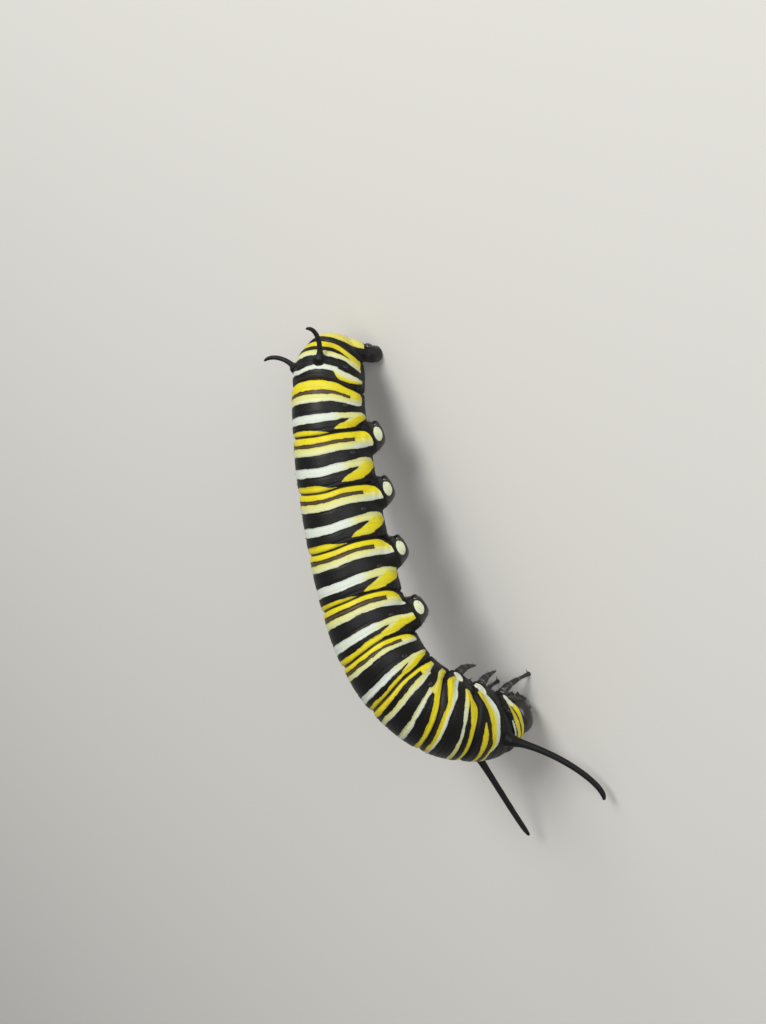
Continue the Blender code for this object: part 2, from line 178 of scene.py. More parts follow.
def tube(points, thick, sides, lastFlat=0):
    # Closed tube along a path, as points and faces; its last rings can lie level
    points, thick = np.asarray(points, float), np.asarray(thick, float)
    along = unit(np.gradient(points, axis=0))
    if lastFlat:
        along[-lastFlat:] = (0, 0, -1)
    side = unit(np.cross(along[0], slantwise))
    turns = np.arange(sides) * math.tau / sides
    rings = []
    for point, radius, direction in zip(points, thick, along):
        side = unit(side - direction * (side @ direction))
        other = np.cross(direction, side)
        circle = np.cos(turns)[:, None] * side + np.sin(turns)[:, None] * other
        rings.append(point + radius * circle)
    return loft(np.array(rings))


def loft(rings):
    count, sides = rings.shape[:2]
    points = np.concatenate([rings.reshape(-1, 3), rings[:1].mean(1), rings[-1:].mean(1)])
    low = np.arange(count - 1)[:, None] * sides
    k = np.arange(sides)
    after = (k + 1) % sides
    quads = np.stack([low + k, low + after, low + sides + after, low + sides + k], -1).reshape(-1, 4)
    first, last = count * sides, count * sides + 1
    faces = quads.tolist()
    faces += [(first, int(b), int(a)) for a, b in zip(k, after)]
    top = (count - 1) * sides
    faces += [(last, int(top + a), int(top + b)) for a, b in zip(k, after)]
    return points, faces


def joined(parts):
    points, faces, base = [], [], 0
    for partPoints, partFaces in parts:
        points.append(np.asarray(partPoints, float))
        faces += [tuple(index + base for index in face) for face in partFaces]
        base += len(partPoints)
    return np.concatenate(points), faces


def newMesh(name, points, faces):
    mesh = bpy.data.meshes.new(name)
    mesh.from_pydata(np.asarray(points).tolist(), [], faces)
    mesh.update()
    return mesh


def newPiece(name, points, faces, material, slot):
    # A piece of the larva from points in millimetres
    piece = bpy.data.objects.new(name, newMesh(name, np.asarray(points) * mm, faces))
    bpy.context.scene.collection.objects.link(piece)
    piece.data.materials.append(material)
    piece.data.shade_smooth()
    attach(piece, "root")
    return piece


# Folds lean and sway over the back as the photographed body bends: each row is a fold from the
# tail, and how far it lies towards the head of its ring at these angles from the back's middle
swayAngles = (-30, 0, 30, 60, 90, 110)
foldSway = (
    (0, 0, 0, 0, 0, 0),
    (0.1, 0, 0, 0.15, 0.65, 0.8),
    (0.1, 0, 0, 0.15, 0.65, 0.75),
    (-0.2, -0.05, 0.07, -0.03, -0.1, -0.2),
    (-0.25, -0.05, 0.05, -0.15, -0.15, -0.1),
    (0.1, 0.2, 0.15, -0.1, -0.1, 0),
    (0.22, 0.17, 0.1, -0.1, -0.05, 0.2),
    (0.5, 0.45, 0.22, -0.05, 0.05, 0.25),
    (0.5, 0.25, 0, -0.25, -0.2, 0.05),
    (1.4, 0.95, 0.55, 0.1, -0.55, -0.7),
    (1.0, 0.45, 0.1, -0.25, -0.5, -1.1),
    (0.5, 0.3, 0.1, 0, -0.6, -1.2),
    (0, 0, 0, 0, 0, 0),
)


def foldLines(degrees):
    # Place of every fold at each angle; past the last knots it eases to its place on the far side
    knots = (-180, -60) + swayAngles + (150, 180)
    lines = []
    for fold, sway in zip(folds, foldSway):
        far = sway[0]
        lines.append(fold + smoothCurve(degrees, knots, (far, far) + sway + ((far + sway[-1]) / 2, far)))
    return np.array(lines)


# Shares of a segment, from its tail end, where its bands change: yellow starts and ends, brown
# ends, pale ends, wide black ends, white ends, black ends, second yellow ends
bandShares = {
    "abdomen_7": (0.03, 0.20, 0.265, 0.40, 0.62, 0.76, 0.89, 0.985),
    "abdomen_6": (0.01, 0.13, 0.20, 0.335, 0.555, 0.71, 0.865, 0.985),
    "abdomen_5": (0.005, 0.11, 0.18, 0.31, 0.56, 0.71, 0.87, 0.985),
    "abdomen_4": (0.005, 0.115, 0.195, 0.325, 0.60, 0.77, 0.91, 0.99),
    "abdomen_3": (0.005, 0.12, 0.225, 0.355, 0.63, 0.78, 0.89, 0.985),
    "abdomen_2": (0.0, 0.12, 0.20, 0.30, 0.67, 0.80, 0.9, 0.985),
}


def usualBands(shares):
    # Light areas of one middle segment: the angles that each spans, its tail and head edges at
    # knots of angle, and its warmth at both edges, from 0 for white through 0.5 to 1 for yellow
    y0, y1, b1, p1, k1, w1, m1, a1 = shares
    return (
        (-1, 90, ((0, y0, y1), (60, y0, y1), (90, y0 - 0.005, y1)), 1, 0.95),
        (-1, 90, ((0, b1, p1), (90, b1, p1)), 0.6, 0.2),
        (87, 113, ((87, y0 - 0.005, p1), (96, y0, p1 - 0.005), (102, y0 + 0.02, p1 - 0.01),
                   (107, y0 + 0.07, p1 - 0.015), (113, p1 - 0.07, p1 - 0.03)), 0.95, 0.1),
        (-1, 91, ((0, k1, w1), (60, k1, w1), (75, k1 - 0.01, w1 - 0.035), (91, k1 - 0.04, w1 - 0.05)), 0, 0),
        (58, 93, ((58, m1 + 0.03, m1 + 0.04), (65, m1 - 0.04, m1 + 0.05), (75, m1 - 0.1, m1 + 0.05),
                  (88, m1 - 0.2, m1 + 0.03), (93, m1 - 0.25, m1 + 0.01)), 1, 1),
        (88, 128, ((88, k1 - 0.04, m1 + 0.03), (98, k1 - 0.05, m1 - 0.04), (110, k1 - 0.05, m1 - 0.12),
                   (120, k1 - 0.02, m1 - 0.17), (128, k1 + 0.04, m1 - 0.2)), 1, 1),
        (-1, 51, ((0, m1, a1), (25, m1 + 0.01, a1), (42, a1 - 0.035, a1), (51, a1 - 0.012, a1)), 1, 1),
    )


bandRows = {name: usualBands(shares) for name, shares in bandShares.items()}
# On these segments the second yellow band runs on into the yellow patch of the side
runOnKnots = dict(
    abdomen_3=((0, 0.89, 0.985), (25, 0.9, 0.985), (42, 0.87, 0.985), (54, 0.88, 0.98), (66, 0.86, 0.95)),
    abdomen_2=((0, 0.9, 0.985), (25, 0.91, 0.985), (42, 0.89, 0.98), (54, 0.895, 0.97), (66, 0.87, 0.95)),
)
for name, knots in runOnKnots.items():
    bandRows[name] = bandRows[name][:-1] + ((-1, 66, knots, 1, 1),)
bandRows["abdomen_9_10"] = (
    (-1, 119, ((0, -0.5, 0.7), (60, -0.5, 0.7), (85, -0.5, 0.62), (100, -0.4, 0.52), (119, 0.1, 0.42)),
     0.68, 0.76),
)
bandRows["abdomen_8"] = (
    (-1, 110, ((0, 0.03, 0.2), (60, 0.02, 0.2), (90, 0.02, 0.24), (110, 0.06, 0.2)), 1, 0.9),
    (-1, 110, ((0, 0.31, 0.46), (60, 0.3, 0.43), (75, 0.27, 0.39), (90, 0.25, 0.4), (110, 0.34, 0.43)),
     0.6, 0.2),
    (84, 108, ((84, 0.04, 0.38), (108, 0.08, 0.4)), 0.95, 0.3),
    (-1, 66, ((0, 0.76, 0.86), (30, 0.68, 0.79), (45, 0.66, 0.78), (66, 0.65, 0.78)), 0.1, 0),
    (60, 112, ((60, 0.66, 0.79), (65, 0.68, 0.89), (75, 0.67, 0.92), (85, 0.65, 0.89), (95, 0.66, 0.85),
               (112, 0.7, 0.77)), 0.2, 1),
)
bandRows["abdomen_1"] = (
    (-1, 88, ((0, 0.0, 0.11), (60, 0.015, 0.09), (88, 0.02, 0.12)), 1, 1),
    (-1, 96, ((0, 0.19, 0.27), (60, 0.21, 0.33), (80, 0.23, 0.38), (96, 0.25, 0.4)), 0.6, 0.1),
    (86, 113, ((86, 0.03, 0.4), (105, 0.05, 0.31), (113, 0.1, 0.28)), 1, 0.3),
    (-1, 80, ((0, 0.55, 0.66), (60, 0.55, 0.64), (80, 0.59, 0.72)), 0.35, 0.05),
    (-1, 80, ((0, 0.88, 0.97), (60, 0.835, 0.97), (80, 0.75, 0.97)), 1, 1),
    (76, 124, ((76, 0.59, 0.97), (90, 0.7, 0.98), (105, 0.65, 0.97), (124, 0.68, 0.9)), 0.75, 1),
)
bandRows["thorax_3"] = (
    (-1, 124, ((0, 0.08, 0.19), (30, 0.095, 0.22), (60, 0.09, 0.25), (75, 0.16, 0.31), (90, 0.12, 0.38),
               (100, 0.09, 0.41), (112, 0.125, 0.45), (124, 0.24, 0.4)), 1, 0),
    (-1, 107, ((0, 0.61, 0.73), (30, 0.62, 0.71), (60, 0.615, 0.69), (75, 0.59, 0.69), (90, 0.6, 0.71),
               (107, 0.66, 0.75)), 0.2, 0.3),
    (-1, 108, ((0, 0.855, 0.98), (30, 0.87, 0.98), (60, 0.83, 0.985), (75, 0.775, 0.99), (90, 0.73, 0.95),
               (108, 0.7, 0.82)), 1, 1),
)
bandRows["thorax_2"] = (
    (-1, 75, ((0, 0.25, 0.32), (30, 0.23, 0.34), (45, 0.2, 0.34), (60, 0.19, 0.31), (75, 0.19, 0.22)), 1, 1),
    (-1, 121, ((0, 0.44, 0.5), (30, 0.43, 0.5), (45, 0.465, 0.59), (60, 0.4, 0.6), (75, 0.35, 0.6),
               (90, 0.265, 0.63), (105, 0.16, 0.62), (113, 0.11, 0.56), (121, 0.2, 0.4)), 1, 0),
)
bandRows["thorax_1"] = (
    (48, 86, ((48, 0.12, 0.14), (68, 0.09, 0.19), (86, 0.1, 0.15)), 0.1, 0.1),
    (-1, 119, ((0, 0.27, 0.45), (60, 0.27, 0.47), (85, 0.22, 0.47), (100, 0.22, 0.45), (119, 0.27, 0.4)),
     0.8, 1),
    (-1, 121, ((0, 0.57, 0.78), (60, 0.57, 0.82), (105, 0.52, 0.8), (121, 0.46, 0.68)), 1, 0.6),
)

# Where the dark is brown outside the middle segments: share of the segment, width and strength
brownShares = dict(thorax_2=(0.37, 0.08, 0.3), thorax_3=(0.04, 0.06, 0.16), abdomen_8=(0.965, 0.014, 0.7))

# How the bands blend: where in a band its warmth turns, the brown stripe's half width and the angles
# over which it ends, where pale bands fade to white, and the angles where bands yellow on the flank
blend = dict(
    across=(0.35, 0.9), stripeHalf=0.145, stripeEnd=(84, 92), brownEnd=(80, 105),
    fade=0.75, fadeEdges=(-0.03, 0.01), fadeFlank=(70, 95), flankYellow=0.42, flankAngles=(50, 76),
    patchAngles=(80, 98), patchEdges=(0.03, 0.02), patchSoft=(-0.05, 0.06),
    palerBand=(0.5, 0.76), palerTop=0.4, palerTopAngles=(15, 45), palerFlank=0.55, palerFlankAngles=(76, 98),
)


def paintFields(s, theta):
    # How deep in the dark a point is, in millimetres and less than nothing in the light, how warm
    # the light is, how brown the dark, the way to the nearest fold, and the share of the segment
    degrees = np.degrees(theta)
    lines = foldLines(degrees)
    away = np.abs(degrees)
    perDegree = math.pi / 180 * np.maximum(radiusAt(s), 1.0)
    light, warmth = np.full(len(s), -farOff), np.full(len(s), 0.5)
    brown, shareAll = np.zeros(len(s)), np.zeros(len(s))
    tailEnd, headEnd = np.full((1, len(s)), -farOff), np.full((1, len(s)), midlineS[-1] + farOff)
    bounds = np.concatenate([tailEnd, lines[1:-1], headEnd])
    for k, name in enumerate(segmentNames):
        inside = (s >= bounds[k]) & (s < bounds[k + 1])
        length = (lines[k + 1] - lines[k])[inside]
        share = (s[inside] - lines[k][inside]) / length
        shareAll[inside] = share
        angle, scale = away[inside], perDegree[inside]
        best, warm = np.full(inside.sum(), -farOff), np.full(inside.sum(), 0.5)
        for start, end, knots, warmTail, warmHead in bandRows[name]:
            table = np.array(knots, float)
            tail = smoothCurve(angle, table[:, 0], table[:, 1])
            head = smoothCurve(angle, table[:, 0], table[:, 2])
            reach = np.minimum((share - tail) * length, (head - share) * length)
            reach = np.minimum(reach, (end - angle) * scale)
            if start >= 0:
                reach = np.minimum(reach, (angle - start) * scale)
            turnLow, turnHigh = (tail + (head - tail) * part for part in blend["across"])
            across = smoothStep(share, turnLow, turnHigh)
            warm = np.where(reach > best, warmTail + (warmHead - warmTail) * across, warm)
            best = np.maximum(best, reach)
        light[inside], warmth[inside] = best, warm
        if name in bandShares:
            y0, y1, b1, p1, k1, w1, m1, a1 = bandShares[name]
            stripe = bell((share - (y1 + b1) / 2) * length, blend["stripeHalf"])
            brown[inside] = stripe * (1 - smoothStep(angle, *blend["stripeEnd"]))
            low, high = y1 + blend["fadeEdges"][0], p1 + blend["fadeEdges"][1]
            fade = blend["fade"] + (1 - blend["fade"]) * smoothStep(angle, *blend["fadeFlank"])
            fading = 1 - smoothStep(share, low, high) * fade
            yellowing = blend["flankYellow"] * smoothStep(angle, *blend["flankAngles"])
            edges = (w1 + blend["patchEdges"][0], k1 + blend["patchEdges"][1])
            border = np.interp(angle, blend["patchAngles"], edges)
            patch = smoothStep(share, border + blend["patchSoft"][0], border + blend["patchSoft"][1])
            flank = yellowing + (1 - yellowing) * patch
            warmth[inside] = np.where(share < (p1 + k1) / 2, fading, flank)
        if name in brownShares:
            middle, width, strength = brownShares[name]
            ending = 1 - smoothStep(angle, *blend["brownEnd"])
            brown[inside] = strength * bell(share - middle, width) * ending
        if name == "thorax_3":
            paler = (share > blend["palerBand"][0]) & (share < blend["palerBand"][1])
            turned = blend["palerTop"] * (1 - smoothStep(angle, *blend["palerTopAngles"]))
            turned += blend["palerFlank"] * smoothStep(angle, *blend["palerFlankAngles"])
            warmth[inside] = np.where(paler, warm + turned, warm)
    distance = np.min(np.abs(lines[1:-1] - s), axis=0)
    return dict(ink=-light, warmth=warmth, brown=brown, fold=distance, share=shareAll)


say("patterns set out")

# The skin starts as the plain body with its soft limbs, fused by a voxel remesh
skinForm = dict(
    voxel=0.06, quickVoxel=0.096, ringStep=0.2, sides=110,
    tailRings=(0.01, 0.04, 0.09, 0.16), firstRing=0.25, neckRings=(0, 0.3, 0.55, 0.75, 0.9, 1),
)
prolegForm = dict(spread=131, sink=1.0, out=0.75, down=0.55, back=0.3, sides=40, samples=26)
prolegRows = (
    ("proleg_a6", "abdomen_6", 0.08, 1.2),
    ("proleg_a5", "abdomen_5", 0.13, 1.2),
    ("proleg_a4", "abdomen_4", 0.28, 1.25),
    ("proleg_a3", "abdomen_3", 0.62, 1.5),
)
prolegKnots = (0.0, 0.3, 0.52, 0.7, 0.82, 0.92, 1.0)
prolegRadii = (1.55, 1.5, 1.38, 1.2, 1.06, 0.9, 0.7)
analForm = dict(
    place=0.75, spread=124, sink=0.9, knee=0.2, kneeShare=0.8, footSpread=1.75, footAhead=0.7, ankle=0.9,
    flatRings=5, sides=40, samples=26,
)
analRadii = (1.05, 0.98, 0.82, 0.7, 0.74, 0.66)
tentacleForm = dict(sink=0.8, sides=28, samples=70, tip=(0.35, 0.65, 0.88))
frontThick = (0.62, 0.37, 0.3, 0.28, 0.27, 0.27, 0.26, 0.26, 0.25, 0.25, 0.24, 0.22, 0.15)
rearThick = (0.5, 0.29, 0.23, 0.21, 0.2, 0.2, 0.19, 0.18, 0.16, 0.11)
tentacleRows = (
    ("front_tentacle_l", "thorax_2", 0.84, 54, frontThick,
     ((2.1, -2.5, -2.6), (3.6, -6.7, -4.4), (3.2, -7.8, -4.1))),
    ("front_tentacle_r", "thorax_2", 0.84, -54, frontThick,
     ((-0.6, -4.4, -1.2), (-2.4, -8.2, -3.0), (-2.7, -10.1, -3.7))),
    ("rear_tentacle_l", "abdomen_8", 0.56, 36, rearThick,
     ((0.8, 1.1, -0.3), (1.1, 2.4, -0.2), (0.8, 2.6, 0.5))),
    ("rear_tentacle_r", "abdomen_8", 0.56, -36, rearThick,
     ((-0.4, 0.8, -0.2), (-1.3, 1.9, 0.4), (-2.1, 1.7, 0.9))),
)
limbs = []   # kind, side, path points and radii of every soft limb, for the paint


def bodyTube():
    middleS = np.arange(skinForm["firstRing"], folds[-1], skinForm["ringStep"])
    neckS = folds[-1] + curve["neckRound"] * np.array(skinForm["neckRings"])
    ringS = np.concatenate([skinForm["tailRings"], middleS, neckS])
    turns = np.arange(skinForm["sides"]) * math.tau / skinForm["sides"]
    rings = np.array([skinPoint(np.full(len(turns), s), turns) for s in ringS])
    return loft(rings)


def prolegTube(row, side):
    name, segment, share, reach = row
    s = placeOn(segment, share)
    theta = math.radians(prolegForm["spread"]) * side
    place, forward, up, left = bodyFrame(s)
    root = skinPoint(s, theta)
    outward = unit(root - place)
    aim = unit(outward * prolegForm["out"] - up * prolegForm["down"] - forward * prolegForm["back"])
    length = prolegForm["sink"] + reach
    shares = np.linspace(0, 1, prolegForm["samples"])
    points = root - aim * prolegForm["sink"] + aim * (length * shares)[:, None]
    thick = smoothCurve(shares, prolegKnots, prolegRadii)
    limbs.append(dict(kind="proleg", name=name, side=side, points=points, thick=thick))
    return tube(points, thick, prolegForm["sides"])


def analTube(side):
    s = placeOn("abdomen_9_10", analForm["place"])
    theta = math.radians(analForm["spread"]) * side
    root, knee = skinPoint(s, theta, -analForm["sink"]), skinPoint(s, theta, analForm["knee"])
    foot = bodyFrame(s)[0] + np.array((analForm["footSpread"] * side, 0, 0))
    foot[1] = skinPoint(s, theta)[1] - analForm["footAhead"]
    foot[2] = 0
    ankle = foot + np.array((0, 0, analForm["ankle"]))
    shares = np.linspace(0, 1, analForm["samples"])
    points = bezier(root, root + (knee - root) * analForm["kneeShare"], ankle, foot, shares)
    thick = smoothCurve(shares * (len(analRadii) - 1), np.arange(len(analRadii)), analRadii)
    limbs.append(dict(kind="anal", name="anal_proleg", side=side, points=points, thick=thick))
    return tube(points, thick, analForm["sides"], analForm["flatRings"])


def tentacleTube(row):
    name, segment, share, spread, thick, handles = row
    s = placeOn(segment, share)
    theta = math.radians(spread)
    root, inside = skinPoint(s, theta), skinPoint(s, theta, -tentacleForm["sink"])
    shares = np.linspace(0, 1, tentacleForm["samples"])
    outer = bezier(root, *(root + np.array(handle) for handle in handles), shares)
    radiusHere = smoothCurve(shares * (len(thick) - 1), np.arange(len(thick)), thick)
    tipShares = np.array(tentacleForm["tip"])   # rounds the tip off
    tipAim = unit(outer[-1] - outer[-2])
    tip = outer[-1] + tipAim * (radiusHere[-1] * tipShares)[:, None]
    points = np.concatenate([inside[None], outer, tip])
    radiusAll = np.concatenate([[thick[0]], radiusHere, radiusHere[-1] * np.sqrt(1 - tipShares**2)])
    side = 1 if spread > 0 else -1
    limbs.append(dict(kind="tentacle", name=name, side=side, points=points, thick=radiusAll))
    return tube(points, radiusAll, tentacleForm["sides"])


parts = [bodyTube()]
for side in (1, -1):
    parts += [prolegTube(row, side) for row in prolegRows]
    parts.append(analTube(side))
parts += [tentacleTube(row) for row in tentacleRows]
rough = bpy.data.objects.new("rough", newMesh("rough", *joined(parts)))
bpy.context.scene.collection.objects.link(rough)
remesh = rough.modifiers.new("fuse", "REMESH")
remesh.mode = "VOXEL"
remesh.voxel_size = skinForm["voxel"]
depsgraph = bpy.context.evaluated_depsgraph_get()
skinMesh = bpy.data.meshes.new_from_object(rough.evaluated_get(depsgraph))
bpy.data.objects.remove(rough, do_unlink=True)
skinMesh.name = "larva_skin"
skinCount = len(skinMesh.vertices)
say(f"skin fused: {skinCount} points")


def readPoints(mesh):
    flat = np.empty(len(mesh.vertices) * 3, np.float32)
    mesh.vertices.foreach_get("co", flat)
    return flat.reshape(-1, 3).astype(float)


def writePoints(mesh, points):
    mesh.vertices.foreach_set("co", points.astype(np.float32).ravel())
    mesh.update()


edgeEnds = np.empty(len(skinMesh.edges) * 2, np.int32)
skinMesh.edges.foreach_get("vertices", edgeEnds)
edgeEnds = edgeEnds.reshape(-1, 2)
degree = np.maximum(np.bincount(edgeEnds.ravel(), minlength=skinCount), 1)


def neighbourMean(values):
    total = np.zeros_like(values)
    for k in range(values.shape[1]):
        column = values[:, k]
        total[:, k] = np.bincount(edgeEnds[:, 0], column[edgeEnds[:, 1]], skinCount)
        total[:, k] += np.bincount(edgeEnds[:, 1], column[edgeEnds[:, 0]], skinCount)
    return total / degree[:, None]


nearest = dict(block=20000, skip=2, turns=4, step=0.8)


def bodyPlace(points):
    # Distance along the midline, angle from the back's middle, and height above the plain body
    s, block, skip = np.empty(len(points)), nearest["block"], nearest["skip"]
    for start in range(0, len(points), block):
        gap = ((points[start:start + block][:, None] - midline[None, ::skip]) ** 2).sum(-1)
        s[start:start + block] = midlineS[::skip][gap.argmin(1)]
    for turn in range(nearest["turns"]):
        place, forward, up, left = bodyFrame(s)
        s = np.clip(s + ((points - place) * forward).sum(-1) * nearest["step"], 0, midlineS[-1])
    place, forward, up, left = bodyFrame(s)
    across = points - place
    theta = np.arctan2((across * left).sum(-1), (across * up).sum(-1))
    height = np.linalg.norm(across, axis=1) - radiusAt(s) * section(theta)
    return s, theta, height


def limbPlace(points, limb):
    # Share along a limb and distance from its axis as a share of its radius there
    path, thick = limb["points"], limb["thick"]
    low, high = path.min(0) - 2, path.max(0) + 2
    near = np.where(((points > low) & (points < high)).all(1))[0]
    gap = ((points[near, None] - path[None]) ** 2).sum(-1)
    k = gap.argmin(1)
    along, ratio = np.full(len(points), -1.0), np.full(len(points), 99.0)
    along[near] = k / (len(path) - 1)
    ratio[near] = np.sqrt(gap[np.arange(len(near)), k]) / thick[k]
    return along, ratio


smoothing = dict(turns=3, out=0.6, back=0.62, joinTurns=24, join=0.5, joinReach=(1.3, 1.9), joinHeight=0.4)
points = readPoints(skinMesh)
for turn in range(smoothing["turns"]):
    points += smoothing["out"] * (neighbourMean(points) - points)
    points -= smoothing["back"] * (neighbourMean(points) - points)
s, theta, height = bodyPlace(points)
nearLimb = np.zeros(skinCount)
for limb in limbs:
    limb["along"], limb["ratio"] = limbPlace(points, limb)
    nearLimb = np.maximum(nearLimb, 1 - smoothStep(limb["ratio"], *smoothing["joinReach"]))
junction = nearLimb * bell(height, smoothing["joinHeight"])
for turn in range(smoothing["joinTurns"]):
    points += (smoothing["join"] * junction)[:, None] * (neighbourMean(points) - points)
s, theta, height = bodyPlace(points)
say("skin smoothed where limbs join")

# Relief: folds between segments, shallow creases along the bands, lobes above the legs
relief = dict(
    foldDeep=0.15, foldThin=0.12, foldSoft=0.07, foldWide=0.42,
    crease=0.03, creaseWidth=0.07, creaseShares=(0.16, 0.34, 0.58, 0.74, 0.9), creaseLength=4.2,
    lobe=0.2, lobeAngle=104, lobeSpread=14, lobeShares=((0.18, 0.14), (0.72, 0.15)), lobeEase=(2, 5),
    legMound=0.22, legMoundWide=0.85,
    pucker=0.05, puckerTurn=0.55, puckerSway=3, puckerAlong=1.7, puckerWide=0.5, puckerAngles=(85, 125),
    bodyEase=(0.08, 0.5), tailEase=(0.3, 1.2), neckEase=0.1,
)
legForm = dict(
    spread=152, sink=0.9, knee=0.7, frontKnee=0.6, frontFootSpread=2.1, frontFootBack=0.3, frontPad=0.2,
)
legRows = (
    ("leg_t3", "thorax_3", 0.4, (0.3, -0.2, -1.9)),
    ("leg_t2", "thorax_2", 0.25, (0.3, 0.3, -1.9)),
    ("leg_t1", "thorax_1", 0.2, None),
)

fields = paintFields(s, theta)
degrees = np.degrees(theta)
push = -relief["foldDeep"] * bell(fields["fold"], relief["foldThin"])
push -= relief["foldSoft"] * bell(fields["fold"], relief["foldWide"])
for share in relief["creaseShares"]:
    push -= relief["crease"] * bell((fields["share"] - share) * relief["creaseLength"], relief["creaseWidth"])
lobeAlong = sum(bell(fields["share"] - share, width) for share, width in relief["lobeShares"])
lobeAround = bell(np.abs(degrees) - relief["lobeAngle"], relief["lobeSpread"])
push += relief["lobe"] * lobeAlong * lobeAround * smoothStep(s, *relief["lobeEase"])
gathers = np.sin(degrees * relief["puckerTurn"] + relief["puckerSway"] * np.sin(s * relief["puckerAlong"]))
gathers *= bell(fields["fold"], relief["puckerWide"])
push += relief["pucker"] * gathers * smoothStep(np.abs(degrees), *relief["puckerAngles"])
for prefix, segment, share, reach in legRows:
    legS = placeOn(segment, share)
    for side in (1, -1):
        gapAround = np.radians(degrees - legForm["spread"] * side) * radiusAt(s)
        push += relief["legMound"] * bell(np.sqrt((s - legS) ** 2 + gapAround**2), relief["legMoundWide"])
push *= smoothStep(s, *relief["tailEase"])
push *= 1 - smoothStep(s, folds[-1] - relief["neckEase"], folds[-1] + relief["neckEase"])
push *= 1 - smoothStep(height, *relief["bodyEase"])
place, forward, up, left = bodyFrame(s)
points += unit(points - place) * push[:, None]
points[:, 2] = np.maximum(points[:, 2], 0.0)
writePoints(skinMesh, points * mm)
say("skin relief pushed")


def addField(mesh, name, values):
    attribute = mesh.attributes.new(name, "FLOAT", "POINT")
    attribute.data.foreach_set("value", np.asarray(values, np.float32))


def ovalField(points, centre, long, wide, longHalf, wideHalf, deepest=1.2):
    # How far inside an oval a point is, in millimetres
    away = points - centre
    along, across = away @ long, away @ wide
    depth = np.linalg.norm(away - along[:, None] * long - across[:, None] * wide, axis=1)
    return np.where(depth < deepest, (1 - np.hypot(along / longHalf, across / wideHalf)) * wideHalf, -farOff)


# Which points are a limb's own: their distance from its axis as a share of its radius, and their
# height above the plain body; past a share of its length a stump is dark
owning = dict(reach=1.6, above=0.05, tentacleReach=1.15, least=0.02, darkFrom=0.42, darkening=4)
tentacleShare, tentacleLong = np.full(skinCount, -1.0), np.zeros(skinCount)
prolegShare = np.zeros(skinCount)
for limb in limbs:
    own = (limb["ratio"] < owning["reach"]) & (height > owning["above"])
    if limb["kind"] == "tentacle":
        own |= limb["ratio"] < owning["tentacleReach"]
        length = np.linalg.norm(np.diff(limb["points"], axis=0), axis=1).sum()
        tentacleShare = np.where(own, np.maximum(limb["along"], owning["least"]), tentacleShare)
        tentacleLong = np.where(own, limb["along"] * length, tentacleLong)
    else:
        prolegShare = np.where(own, np.maximum(prolegShare, limb["along"]), prolegShare)
isTentacle = tentacleShare > 0
stumpInk = (prolegShare - owning["darkFrom"]) * owning["darkening"]
ink = np.where(isTentacle, 1.0, fields["ink"])
ink = np.where(stumpInk > 0, np.maximum(ink, stumpInk), ink)

# Cream spots on the stumps' outer faces and above the true legs, glossy shields round them, and
# the stumps' soles: each leg's spot has its place along, its angle and its half sizes
spots = dict(
    prolegShare=0.72, prolegLong=0.62, prolegWide=0.39, rise=0.4, lean=0.6, reach=1.8, above=-0.2,
    legs=((33.65, 131, 0.74, 0.52), (36.35, 129, 0.84, 0.6), (40.0, 125, 0.68, 0.48)),
    facing=0.2, shieldFacing=(-0.1, 0.4), shieldShares=(0.45, 0.6), soleEdges=(-0.12, -0.03),
)
spot, shield = np.full(skinCount, -farOff), np.zeros(skinCount)
sole = np.zeros(skinCount)
for limb in limbs:
    if limb["kind"] == "tentacle":
        continue
    path, side = limb["points"], limb["side"]
    k = int(spots["prolegShare"] * (len(path) - 1))
    axis = unit(path[k + 1] - path[k - 1])
    place, forward, up, left = (row[0] for row in bodyFrame(bodyPlace(path[k:k + 1])[0]))
    face = left * side + up * spots["rise"]
    face = unit(face - axis * (face @ axis))
    long = unit(forward - axis * (forward @ axis) * spots["lean"])
    wide = unit(np.cross(long, face))
    near = (limb["ratio"] < spots["reach"]) & (height > spots["above"])
    nearestOnPath = np.clip((limb["along"] * (len(path) - 1)).astype(int), 0, len(path) - 1)
    facing = unit(points - path[nearestOnPath]) @ face
    glossy = smoothStep(facing, *spots["shieldFacing"]) * smoothStep(prolegShare, *spots["shieldShares"])
    shield = np.where(near, np.maximum(shield, glossy), shield)
    if limb["kind"] == "proleg":
        centre = path[k] + face * limb["thick"][k]
        oval = ovalField(points, centre, long, wide, spots["prolegLong"], spots["prolegWide"])
        spot = np.where(near & (facing > spots["facing"]), np.maximum(spot, oval), spot)
    under = smoothStep((points - path[-1]) @ unit(path[-1] - path[-2]), *spots["soleEdges"])
    sole = np.where(near, np.maximum(sole, under), sole)
for spotS, spotAngle, longHalf, wideHalf in spots["legs"]:
    around = np.radians(np.abs(degrees) - spotAngle) * radiusAt(s)
    oval = (1 - np.hypot((s - spotS) / wideHalf, around / longHalf)) * wideHalf
    spot = np.maximum(spot, oval)

# The fields that the skin's paint reads
fieldForm = dict(foldHeight=0.35, foldEnd=0.2, tentacleEase=(0.02, 0.12), arcRadius=3.3)
plainSkin = (height <= fieldForm["foldHeight"]) & (s <= folds[-1] - fieldForm["foldEnd"])
skinFields = dict(
    ink=ink,
    warmth=fields["warmth"],
    brown=np.where(isTentacle, 0, fields["brown"]),
    foldGap=np.where(plainSkin, fields["fold"], farOff),
    tentacle=np.where(isTentacle, smoothStep(tentacleShare, *fieldForm["tentacleEase"]), 0),
    tentacleLong=tentacleLong,
    shield=shield,
    sole=sole,
    spot=spot,
    along=s,
    arc=theta * fieldForm["arcRadius"],
)
for name, values in skinFields.items():
    addField(skinMesh, name, values)
say("paint fields stored")


